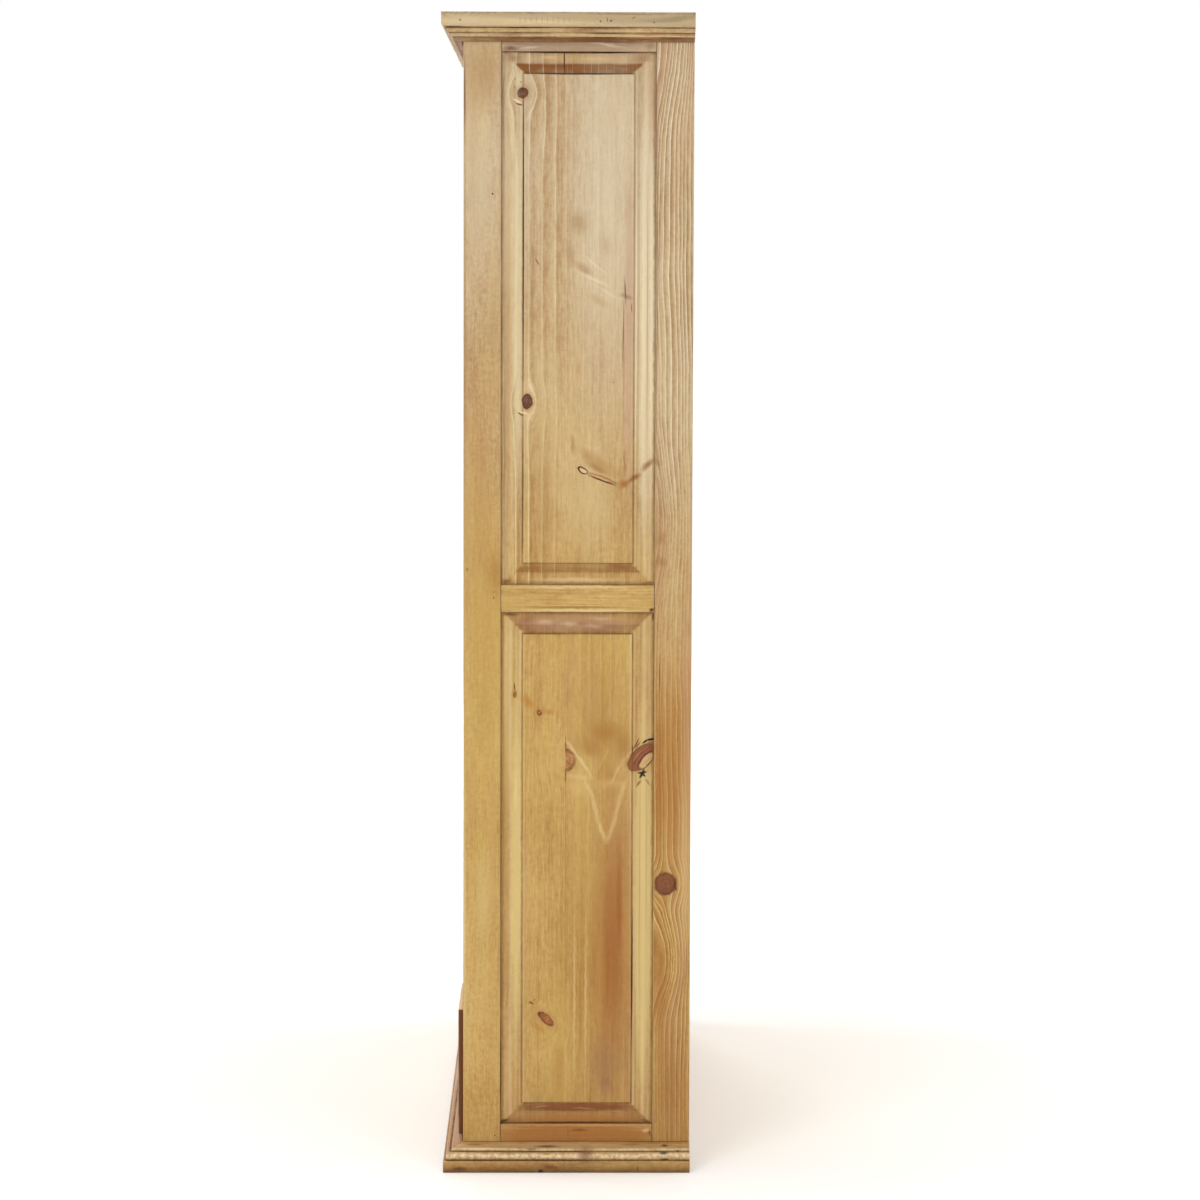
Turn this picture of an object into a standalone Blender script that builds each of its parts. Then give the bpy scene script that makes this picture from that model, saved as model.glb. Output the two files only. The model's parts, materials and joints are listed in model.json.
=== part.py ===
import math

import bmesh
import bpy
from mathutils import Vector

# Sizes are in metres. The front faces -Y, the width runs along X, and the floor is at Z = 0.

# Overall sizes
HEIGHT = 1.830
CARCASS_WIDTH = 1.080
CARCASS_DEPTH = 0.361

# Clearances
SEAT_GAP = 0.0003  # between pieces that touch
TENON_EASE = 0.0005  # each cheek of a side tenon inside the panel groove's width
GROOVE_END_ROOM = 0.0015  # room for a panel to swell in its groove
EDGE_EASE = 0.0012  # chamfer on sawn edges

# Posts, side rails and raised panels
POST_WIDTH = 0.059  # along the depth
POST_THICKNESS = 0.040  # along the width
SIDE_RAIL_THICKNESS = 0.028
SIDE_RAIL_SETBACK = 0.001  # behind the post's outer face
TOP_RAIL_HEIGHT = 0.0352
MIDDLE_RAIL_BASE = 0.8917
MIDDLE_RAIL_HEIGHT = 0.043
BOTTOM_RAIL_HEIGHT = 0.070
SIDE_TENON_LENGTH = 0.030
TENON_SHOULDER = 0.006  # shoulder above or below a tenon
GROOVE_OFFSET = 0.010  # from the post's outer face
GROOVE_WIDTH = 0.007
GROOVE_DEPTH = 0.010
PANEL_THICKNESS = 0.021
PANEL_FIELD_DROP = 0.003  # raised field behind the post's outer face
PANEL_LEDGE_WIDTH = 0.020  # nearly flat outer part of the bevel
PANEL_LEDGE_RISE = 0.0012
PANEL_COVE_WIDTH = 0.0145  # hollow inner part of the bevel
PANEL_COVE_STEPS = 3
PANEL_SHOULDER_WIDTH = 0.0004
PANEL_SHOULDER_RISE = 0.0016
PANEL_BACK_MARGIN = 0.0012  # the thick back part stays this far inside the opening

# Top board and crown moulding
TOP_THICKNESS = 0.023
TOP_OVERHANG = 0.034
TOP_ROUND = 0.006
CROWN_UPPER_OUT = 0.0275
CROWN_UPPER_HEIGHT = 0.0080
CROWN_LOWER_OUT = 0.0215
CROWN_LOWER_HEIGHT = 0.0065
CROWN_COVE_OUT = 0.0165
CROWN_COVE_HEIGHT = 0.0060
CROWN_FOOT_OUT = 0.005
CROWN_GROOVE = 0.0008
BEAD_BULGE = 0.0016
COVE_BULGE = 0.0014
ARC_STEPS = 3

# Base moulding
PLINTH_OUT = 0.031
PLINTH_HEIGHT = 0.0185
BASE_BEAD_OUT = 0.0265
BASE_BEAD_TOP_OUT = 0.0215
BASE_BEAD_HEIGHT = 0.0130
BASE_FILLET_OUT = 0.0185
BASE_FILLET_HEIGHT = 0.0035
BASE_SLOPE_HEIGHT = 0.0080
BASE_BEAD_BULGE = 0.0026

# Front and back rails, divider and partition
FRONT_RAIL_THICKNESS = 0.022
RAIL_TENON_LENGTH = 0.020
RAIL_TENON_THICKNESS = 0.010
HEADER_HEIGHT = 0.065
DRAWER_RAIL_HEIGHT = 0.035
FRONT_BOTTOM_RAIL_HEIGHT = 0.0565
BACK_TOP_RAIL_HEIGHT = 0.055
DIVIDER_WIDTH = 0.025
DIVIDER_TENON_LENGTH = 0.010

# Shelves, deck and cleats
SHELF_COUNT = 3
SHELF_THICKNESS = 0.024
SHELF_SETBACK = 0.004  # behind the posts' front face
DECK_THICKNESS = 0.022
CLEAT_HEIGHT = 0.020
CLEAT_THICKNESS = 0.018
CLEAT_SETBACK = 0.016  # behind the shelf's front edge

# Back boards
BACK_BOARD_COUNT = 6
BACK_BOARD_THICKNESS = 0.012
BACK_BOARD_RECESS = 0.0005  # behind the posts' back face
BACK_LAP = 0.008  # overlap of neighbouring boards
BACK_REBATE_WIDTH = 0.010  # of the back post that the outer boards lie in
BACK_FLOOR_CLEARANCE = 0.004

# Drawers
DRAWER_OPENING_HEIGHT = 0.183
DRAWER_LIP_THICKNESS = 0.008
DRAWER_LIP_OVERLAP = 0.010
DRAWER_LIP_CLEARANCE = 0.0005
DRAWER_FRONT_DEPTH = 0.012  # the part of the front inside the opening
DRAWER_SIDE_CLEARANCE = 0.0015
DRAWER_TOP_CLEARANCE = 0.0015
DRAWER_SIDE_THICKNESS = 0.014
DRAWER_SIDE_HEIGHT = 0.150
DRAWER_BACK_THICKNESS = 0.012
DRAWER_BACK_DROP = 0.010  # back's top edge below the sides
DRAWER_BOTTOM_THICKNESS = 0.006
DRAWER_BOTTOM_RAISE = 0.008
DRAWER_GROOVE_DEPTH = 0.005
DRAWER_END_ROOM = 0.015  # behind the drawer
SCOOP_RADIUS = 0.050
SCOOP_DEPTH = 0.030
SCOOP_SIDES = 32
RUNNER_WIDTH = 0.030
RUNNER_HEIGHT = 0.022

# Planes that the pieces share
half_width = CARCASS_WIDTH / 2
back = (CARCASS_DEPTH + TOP_OVERHANG) / 2
front = back - CARCASS_DEPTH
carcass_top = HEIGHT - TOP_THICKNESS - SEAT_GAP
inner_half = half_width - POST_THICKNESS
front_post_back = front + POST_WIDTH
back_post_front = back - POST_WIDTH
front_rail_back = front + FRONT_RAIL_THICKNESS
rebate_depth = BACK_BOARD_THICKNESS + BACK_BOARD_RECESS + SEAT_GAP
back_boards_front = back - BACK_BOARD_RECESS - BACK_BOARD_THICKNESS
back_rail_back = back_boards_front - SEAT_GAP
back_rail_front = back_rail_back - FRONT_RAIL_THICKNESS
opening_low = FRONT_BOTTOM_RAIL_HEIGHT
opening_high = opening_low + DRAWER_OPENING_HEIGHT
deck_top = opening_high + DRAWER_RAIL_HEIGHT
base_height = PLINTH_HEIGHT + BASE_BEAD_HEIGHT + BASE_FILLET_HEIGHT + BASE_SLOPE_HEIGHT

for old in list(bpy.data.objects):
    bpy.data.objects.remove(old, do_unlink=True)

parts = bpy.data.collections.new("bookcase")
cutters = bpy.data.collections.new("bookcase_cutters")
bpy.context.scene.collection.children.link(parts)
bpy.context.scene.collection.children.link(cutters)


def make_material(name, colour, roughness):
    material = bpy.data.materials.new(name)
    material.use_nodes = True
    shader = material.node_tree.nodes["Principled BSDF"]
    shader.inputs["Base Color"].default_value = (*colour, 1.0)
    shader.inputs["Roughness"].default_value = roughness
    shader.inputs["Metallic"].default_value = 0.0
    return material


frame_pine = make_material("waxed_pine_frame", (0.55, 0.36, 0.15), 0.45)
panel_pine = make_material("waxed_pine_panel", (0.58, 0.38, 0.15), 0.45)
moulding_pine = make_material("waxed_pine_moulding", (0.46, 0.30, 0.14), 0.48)
shelf_pine = make_material("waxed_pine_shelf", (0.56, 0.37, 0.16), 0.5)
back_pine = make_material("sawn_pine_back", (0.50, 0.34, 0.17), 0.6)
drawer_pine = make_material("plain_pine_drawer", (0.60, 0.44, 0.24), 0.55)


def make_empty(name, location, parent=None):
    empty = bpy.data.objects.new(name, None)
    empty.empty_display_size = 0.05
    empty.location = location
    empty.parent = parent
    parts.objects.link(empty)
    return empty


carcass = make_empty("carcass_origin", (0, 0, 0))


def add_piece(name, mesh, centre, material, parent):
    mesh.materials.append(material)
    piece = bpy.data.objects.new(name, mesh)
    piece.parent = parent
    piece.location = Vector(centre) - Vector(parent.location)
    parts.objects.link(piece)
    return piece


def box_mesh(name, low, high):
    mesh = bpy.data.meshes.new(name)
    bm = bmesh.new()
    bmesh.ops.create_cube(bm, size=1)
    bmesh.ops.scale(bm, vec=Vector(high) - Vector(low), verts=bm.verts)
    bm.to_mesh(mesh)
    bm.free()
    return mesh


def middle(low, high):
    return (Vector(low) + Vector(high)) / 2


def board(name, low, high, material, parent=carcass, eased=True):
    """A sawn board between two corners, with its edges eased or left square."""
    piece = add_piece(name, box_mesh(name, low, high), middle(low, high), material, parent)
    if eased:
        bevel = piece.modifiers.new("eased_edges", "BEVEL")
        bevel.width = EDGE_EASE
        bevel.segments = 1
    return piece


def helper(name, mesh, centre):
    shape = bpy.data.objects.new(name, mesh)
    shape.location = centre
    shape.hide_render = True
    shape.display_type = "WIRE"
    cutters.objects.link(shape)
    return shape


def combine(piece, shape, operation):
    boolean = piece.modifiers.new(shape.name, "BOOLEAN")
    boolean.object = shape
    boolean.operation = operation


def cut_box(piece, name, low, high):
    full_name = f"{piece.name}_{name}"
    combine(piece, helper(full_name, box_mesh(full_name, low, high), middle(low, high)), "DIFFERENCE")


def add_box(piece, name, low, high):
    full_name = f"{piece.name}_{name}"
    combine(piece, helper(full_name, box_mesh(full_name, low, high), middle(low, high)), "UNION")


def tenon(piece, receiver, name, low, high):
    """A tenon on one piece, and its mortise in the piece that receives it."""
    grow = Vector((SEAT_GAP, SEAT_GAP, SEAT_GAP))
    add_box(piece, name, low, high)
    cut_box(receiver, f"mortise_for_{piece.name}_{name}", Vector(low) - grow, Vector(high) + grow)


def across(side, near, far):
    """The X range between two depths measured inwards from a side's outer face."""
    ends = (side * (half_width - near), side * (half_width - far))
    return min(ends), max(ends)


def make_post(name, side, y_low, y_high):
    x_low, x_high = across(side, 0, POST_THICKNESS)
    return board(name, (x_low, y_low, 0), (x_high, y_high, carcass_top), frame_pine)


def make_side_rail(name, side, posts, z_low, z_high, groove_below, groove_above):
    """A rail between the two posts of a side, tenoned into both and grooved for its panels."""
    x_low, x_high = across(side, SIDE_RAIL_SETBACK, SIDE_RAIL_SETBACK + SIDE_RAIL_THICKNESS)
    y_low = front_post_back + SEAT_GAP
    y_high = back_post_front - SEAT_GAP
    rail = board(name, (x_low, y_low, z_low), (x_high, y_high, z_high), frame_pine)
    groove_x = across(side, GROOVE_OFFSET, GROOVE_OFFSET + GROOVE_WIDTH)
    tenon_x = across(
        side,
        GROOVE_OFFSET + SEAT_GAP + TENON_EASE,
        GROOVE_OFFSET + GROOVE_WIDTH - SEAT_GAP - TENON_EASE,
    )
    tenon_low = z_low + TENON_SHOULDER + (GROOVE_DEPTH if groove_below else 0)
    tenon_high = z_high - TENON_SHOULDER - (GROOVE_DEPTH if groove_above else 0)
    root = SIDE_TENON_LENGTH / 2
    tenon(
        rail, posts[0], "front_tenon",
        (tenon_x[0], y_low - SIDE_TENON_LENGTH, tenon_low),
        (tenon_x[1], y_low + root, tenon_high),
    )
    tenon(
        rail, posts[1], "back_tenon",
        (tenon_x[0], y_high - root, tenon_low),
        (tenon_x[1], y_high + SIDE_TENON_LENGTH, tenon_high),
    )
    past = GROOVE_DEPTH / 2
    if groove_below:
        cut_box(
            rail, "lower_groove",
            (groove_x[0], y_low - past, z_low - past),
            (groove_x[1], y_high + past, z_low + GROOVE_DEPTH),
        )
    if groove_above:
        cut_box(
            rail, "upper_groove",
            (groove_x[0], y_low - past, z_high - GROOVE_DEPTH),
            (groove_x[1], y_high + past, z_high + past),
        )


def make_panel(name, side, z_low, z_high):
    """A raised panel whose tongue lies in the grooves round its opening."""
    tongue = GROOVE_DEPTH - GROOVE_END_ROOM
    tongue_thickness = GROOVE_WIDTH - 2 * SEAT_GAP
    tongue_face = GROOVE_OFFSET + SEAT_GAP
    rise = tongue_face - PANEL_FIELD_DROP
    cove_rise = rise - PANEL_LEDGE_RISE - PANEL_SHOULDER_RISE
    y_low = front_post_back - tongue
    y_high = back_post_front + tongue
    mesh = bpy.data.meshes.new(name)
    bm = bmesh.new()
    bmesh.ops.create_cube(bm, size=1)
    size = (tongue_thickness, y_high - y_low, z_high - z_low + 2 * tongue)
    bmesh.ops.scale(bm, vec=size, verts=bm.verts)
    outer = max(bm.faces, key=lambda face: face.calc_center_median().x)
    inner = min(bm.faces, key=lambda face: face.calc_center_median().x)

    def step(face, width, depth):
        bmesh.ops.inset_region(bm, faces=[face], thickness=width, depth=depth, use_even_offset=True)

    step(outer, tongue, 0)
    step(outer, PANEL_LEDGE_WIDTH, PANEL_LEDGE_RISE)
    for number in range(PANEL_COVE_STEPS):
        share = ((number + 1) ** 2 - number**2) / PANEL_COVE_STEPS**2
        step(outer, PANEL_COVE_WIDTH / PANEL_COVE_STEPS, cove_rise * share)
    step(outer, PANEL_SHOULDER_WIDTH, PANEL_SHOULDER_RISE)
    step(inner, tongue + PANEL_BACK_MARGIN, 0)
    step(inner, PANEL_SHOULDER_WIDTH, PANEL_THICKNESS - rise - tongue_thickness)
    bmesh.ops.recalc_face_normals(bm, faces=bm.faces)
    bm.to_mesh(mesh)
    bm.free()
    centre = (
        side * (half_width - tongue_face - tongue_thickness / 2),
        (y_low + y_high) / 2,
        (z_low + z_high) / 2,
    )
    panel = add_piece(name, mesh, centre, panel_pine, carcass)
    panel.rotation_euler.z = 0 if side > 0 else math.pi


def make_side(side, label):
    posts = (
        make_post(f"front_post_{label}", side, front, front_post_back),
        make_post(f"back_post_{label}", side, back_post_front, back),
    )
    middle_top = MIDDLE_RAIL_BASE + MIDDLE_RAIL_HEIGHT
    top_base = carcass_top - TOP_RAIL_HEIGHT
    make_side_rail(f"top_rail_{label}", side, posts, top_base, carcass_top, True, False)
    make_side_rail(f"middle_rail_{label}", side, posts, MIDDLE_RAIL_BASE, middle_top, True, True)
    make_side_rail(f"bottom_side_rail_{label}", side, posts, 0, BOTTOM_RAIL_HEIGHT, False, True)
    groove_x = across(side, GROOVE_OFFSET, GROOVE_OFFSET + GROOVE_WIDTH)
    groove_low = BOTTOM_RAIL_HEIGHT - GROOVE_DEPTH
    groove_high = top_base + GROOVE_DEPTH
    past = GROOVE_DEPTH / 2
    cut_box(
        posts[0], "panel_groove",
        (groove_x[0], front_post_back - GROOVE_DEPTH, groove_low),
        (groove_x[1], front_post_back + past, groove_high),
    )
    cut_box(
        posts[1], "panel_groove",
        (groove_x[0], back_post_front - past, groove_low),
        (groove_x[1], back_post_front + GROOVE_DEPTH, groove_high),
    )
    rebate_x = across(side, POST_THICKNESS - BACK_REBATE_WIDTH, POST_THICKNESS + past)
    cut_box(
        posts[1], "back_rebate",
        (rebate_x[0], back - rebate_depth, -past),
        (rebate_x[1], back + past, carcass_top + past),
    )
    make_panel(f"upper_panel_{label}", side, middle_top, top_base)
    make_panel(f"lower_panel_{label}", side, BOTTOM_RAIL_HEIGHT, MIDDLE_RAIL_BASE)
    return posts


left_posts = make_side(-1, "left")
right_posts = make_side(1, "right")


def arc(start, end, bulge):
    """Points after start up to end, on an arc that stands bulge off the chord, to its right."""
    start, end = Vector(start), Vector(end)
    chord = end - start
    right = Vector((chord.y, -chord.x)).normalized()
    points = []
    for number in range(1, ARC_STEPS + 1):
        share = number / ARC_STEPS
        points.append(start + chord * share + right * bulge * 4 * share * (1 - share))
    return [tuple(point) for point in points]


def crown_profile():
    """The crown moulding's section as (outwards, upwards) points, from its foot up."""
    upper = -CROWN_UPPER_HEIGHT
    lower = upper - CROWN_LOWER_HEIGHT
    foot = lower - CROWN_COVE_HEIGHT
    points = [(SEAT_GAP, foot), (CROWN_FOOT_OUT, foot)]
    points += arc(points[-1], (CROWN_COVE_OUT - CROWN_GROOVE, lower - CROWN_GROOVE), -COVE_BULGE)
    points += [(CROWN_COVE_OUT, lower)]
    points += arc(points[-1], (CROWN_LOWER_OUT, upper - CROWN_GROOVE), BEAD_BULGE)
    points += [(CROWN_LOWER_OUT, upper)]
    points += arc(points[-1], (CROWN_UPPER_OUT, -CROWN_GROOVE), BEAD_BULGE)
    points += [(CROWN_UPPER_OUT, 0), (SEAT_GAP, 0)]
    return points


def base_profile():
    """The base moulding's section as (outwards, upwards) points, from the floor up."""
    bead_top = PLINTH_HEIGHT + BASE_BEAD_HEIGHT
    fillet_top = bead_top + BASE_FILLET_HEIGHT
    points = [(SEAT_GAP, 0), (PLINTH_OUT, 0), (PLINTH_OUT, PLINTH_HEIGHT)]
    points += [(BASE_BEAD_OUT, PLINTH_HEIGHT)]
    points += arc(points[-1], (BASE_BEAD_TOP_OUT, bead_top), BASE_BEAD_BULGE)
    points += [(BASE_FILLET_OUT, bead_top), (BASE_FILLET_OUT, fillet_top), (SEAT_GAP, base_height)]
    return points


def make_moulding(name, profile, length, turn, centre, front_ends):
    """A straight moulding. Each end in front_ends (1 or -1 along its length) is mitred."""
    curve = bpy.data.curves.new(name, "CURVE")
    curve.dimensions = "2D"
    curve.fill_mode = "BOTH"
    curve.extrude = length / 2
    spline = curve.splines.new("POLY")
    spline.points.add(len(profile) - 1)
    for point, (out, up) in zip(spline.points, profile):
        point.co = (out, up, 0, 1)
    spline.use_cyclic_u = True
    outline = bpy.data.objects.new(name + "_outline", curve)
    cutters.objects.link(outline)
    bpy.context.view_layer.update()
    mesh = bpy.data.meshes.new_from_object(outline.evaluated_get(bpy.context.evaluated_depsgraph_get()))
    bpy.data.objects.remove(outline, do_unlink=True)
    bm = bmesh.new()
    bm.from_mesh(mesh)
    bmesh.ops.remove_doubles(bm, verts=bm.verts, dist=1e-6)
    bmesh.ops.recalc_face_normals(bm, faces=bm.faces)
    for vert in bm.verts:
        end = 1 if vert.co.z > 0 else -1
        if end in front_ends:
            vert.co.z += end * (vert.co.x - SEAT_GAP)
    bm.to_mesh(mesh)
    bm.free()
    mesh.materials.clear()
    mesh.name = name
    moulding = add_piece(name, mesh, centre, moulding_pine, carcass)
    moulding.rotation_euler = (math.pi / 2, 0, turn)


def make_mouldings(kind, profile, level):
    """The front moulding and its two returns, mitred at the front corners and square at the back."""
    depth_middle = (front + back) / 2
    quarter = math.pi / 2
    make_moulding(f"{kind}_front", profile, CARCASS_WIDTH, -quarter, (0, front, level), (1, -1))
    make_moulding(f"{kind}_right", profile, CARCASS_DEPTH, 0, (half_width, depth_middle, level), (1,))
    make_moulding(
        f"{kind}_left", profile, CARCASS_DEPTH, 2 * quarter, (-half_width, depth_middle, level), (-1,)
    )


make_mouldings("crown_moulding", crown_profile(), carcass_top)
make_mouldings("base_moulding", base_profile(), 0)


def make_top_board():
    """The top board, with its lower edge rounded at the front and both ends."""
    low = Vector((-half_width - TOP_OVERHANG, front - TOP_OVERHANG, HEIGHT - TOP_THICKNESS))
    high = Vector((half_width + TOP_OVERHANG, back, HEIGHT))
    mesh = box_mesh("top_board", low, high)
    bm = bmesh.new()
    bm.from_mesh(mesh)
    under = [edge for edge in bm.edges if all(vert.co.z < 0 for vert in edge.verts)]
    rounded = [edge for edge in under if any(vert.co.y < 0 for vert in edge.verts)]
    bmesh.ops.bevel(
        bm, geom=rounded, offset=TOP_ROUND, segments=3, profile=0.5, affect="EDGES", material=-1
    )
    bm.to_mesh(mesh)
    bm.free()
    add_piece("top_board", mesh, middle(low, high), moulding_pine, carcass)


make_top_board()


def make_cross_rail(name, posts, y_low, z_low, z_high):
    """A rail from the left side to the right, tenoned into a post at each end."""
    x_end = inner_half - SEAT_GAP
    y_high = y_low + FRONT_RAIL_THICKNESS
    rail = board(name, (-x_end, y_low, z_low), (x_end, y_high, z_high), frame_pine)
    tenon_y = (y_low + y_high - RAIL_TENON_THICKNESS) / 2
    root = RAIL_TENON_LENGTH / 2
    for side, post in zip((-1, 1), posts):
        ends = sorted((side * (x_end - root), side * (x_end + RAIL_TENON_LENGTH)))
        tenon(
            rail, post, "left_tenon" if side < 0 else "right_tenon",
            (ends[0], tenon_y, z_low + TENON_SHOULDER),
            (ends[1], tenon_y + RAIL_TENON_THICKNESS, z_high - TENON_SHOULDER),
        )
    return rail


front_posts = (left_posts[0], right_posts[0])
back_posts = (left_posts[1], right_posts[1])
make_cross_rail("header_rail", front_posts, front, carcass_top - HEADER_HEIGHT, carcass_top)
drawer_rail = make_cross_rail("drawer_rail", front_posts, front, opening_high, deck_top)
front_bottom_rail = make_cross_rail("front_bottom_rail", front_posts, front, 0, opening_low)
make_cross_rail(
    "back_top_rail", back_posts, back_rail_front, carcass_top - BACK_TOP_RAIL_HEIGHT, carcass_top
)
make_cross_rail("back_bottom_rail", back_posts, back_rail_front, 0, opening_low)


def make_divider():
    """The short upright between the two drawers, tenoned into the rails above and below."""
    z_low = opening_low + SEAT_GAP
    z_high = opening_high - SEAT_GAP
    x_half = DIVIDER_WIDTH / 2
    divider = board(
        "drawer_divider", (-x_half, front, z_low), (x_half, front_rail_back, z_high), frame_pine
    )
    y_low = (front + front_rail_back - RAIL_TENON_THICKNESS) / 2
    y_high = y_low + RAIL_TENON_THICKNESS
    x_tenon = x_half - TENON_SHOULDER
    root = DIVIDER_TENON_LENGTH / 2
    tenon(
        divider, drawer_rail, "upper_tenon",
        (-x_tenon, y_low, z_high - root), (x_tenon, y_high, z_high + DIVIDER_TENON_LENGTH),
    )
    tenon(
        divider, front_bottom_rail, "lower_tenon",
        (-x_tenon, y_low, z_low - DIVIDER_TENON_LENGTH), (x_tenon, y_high, z_low + root),
    )


make_divider()

run_front = front_rail_back + SEAT_GAP
run_back = back_rail_front - SEAT_GAP
runner_low = opening_low - RUNNER_HEIGHT
deck_low = deck_top - DECK_THICKNESS
board(
    "drawer_partition",
    (-DIVIDER_WIDTH / 2, run_front, runner_low),
    (DIVIDER_WIDTH / 2, run_back, deck_low - SEAT_GAP),
    frame_pine,
)
for runner_side, runner_label in ((-1, "left"), (1, "right")):
    for place, near in (("outer", inner_half - SEAT_GAP), ("inner", DIVIDER_WIDTH / 2 + SEAT_GAP)):
        far = near - RUNNER_WIDTH if place == "outer" else near + RUNNER_WIDTH
        runner_x = sorted((runner_side * near, runner_side * far))
        board(
            f"drawer_runner_{runner_label}_{place}",
            (runner_x[0], run_front, runner_low),
            (runner_x[1], run_back, opening_low),
            shelf_pine,
        )


def make_shelf(name, y_low, z_low, thickness):
    """A shelf notched round the four posts, with a cleat under each end."""
    end = half_width - SIDE_RAIL_SETBACK - SIDE_RAIL_THICKNESS - SEAT_GAP
    y_high = back_boards_front - SEAT_GAP
    z_high = z_low + thickness
    shelf = board(name, (-end, y_low, z_low), (end, y_high, z_high), shelf_pine)
    clear = inner_half - SEAT_GAP
    past = POST_THICKNESS / 2
    for side, label in ((-1, "left"), (1, "right")):
        notch_x = sorted((side * clear, side * (end + past)))
        cut_box(
            shelf, f"front_notch_{label}",
            (notch_x[0], y_low - past, z_low - past),
            (notch_x[1], front_post_back + SEAT_GAP, z_high + past),
        )
        cut_box(
            shelf, f"back_notch_{label}",
            (notch_x[0], back_post_front - SEAT_GAP, z_low - past),
            (notch_x[1], y_high + past, z_high + past),
        )
        cleat_x = sorted((side * clear, side * (clear - CLEAT_THICKNESS)))
        board(
            f"{name}_cleat_{label}",
            (cleat_x[0], y_low + CLEAT_SETBACK, z_low - SEAT_GAP - CLEAT_HEIGHT),
            (cleat_x[1], y_high, z_low - SEAT_GAP),
            shelf_pine,
        )


make_shelf("deck", run_front, deck_low, DECK_THICKNESS)
bay_height = (carcass_top - deck_top - SHELF_COUNT * SHELF_THICKNESS) / (SHELF_COUNT + 1)
for shelf_number in range(SHELF_COUNT):
    shelf_low = deck_top + bay_height + shelf_number * (bay_height + SHELF_THICKNESS)
    make_shelf(f"shelf_{shelf_number + 1}", front + SHELF_SETBACK, shelf_low, SHELF_THICKNESS)


def make_back_boards():
    """Upright boards with half-thickness laps, nailed to the back rails and shelves."""
    span = inner_half + BACK_REBATE_WIDTH - SEAT_GAP
    pitch = 2 * span / BACK_BOARD_COUNT
    z_low = BACK_FLOOR_CLEARANCE
    z_high = carcass_top
    y_high = back_boards_front + BACK_BOARD_THICKNESS
    y_middle = (back_boards_front + y_high) / 2
    past = BACK_BOARD_THICKNESS
    for number in range(BACK_BOARD_COUNT):
        first = number == 0
        last = number == BACK_BOARD_COUNT - 1
        x_low = -span + number * pitch
        x_high = x_low + pitch
        lap_low = x_low if first else x_low - BACK_LAP / 2
        lap_high = x_high if last else x_high + BACK_LAP / 2
        plank = board(
            f"back_board_{number + 1}",
            (lap_low, back_boards_front, z_low),
            (lap_high, y_high, z_high),
            back_pine,
            eased=False,
        )
        if not first:
            cut_box(
                plank, "front_lap",
                (lap_low - past, back_boards_front - past, z_low - past),
                (x_low + BACK_LAP / 2 + SEAT_GAP, y_middle + SEAT_GAP, z_high + past),
            )
        if not last:
            cut_box(
                plank, "back_lap",
                (x_high - BACK_LAP / 2 - SEAT_GAP, y_middle, z_low - past),
                (lap_high + past, y_high + past, z_high + past),
            )


make_back_boards()


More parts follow.
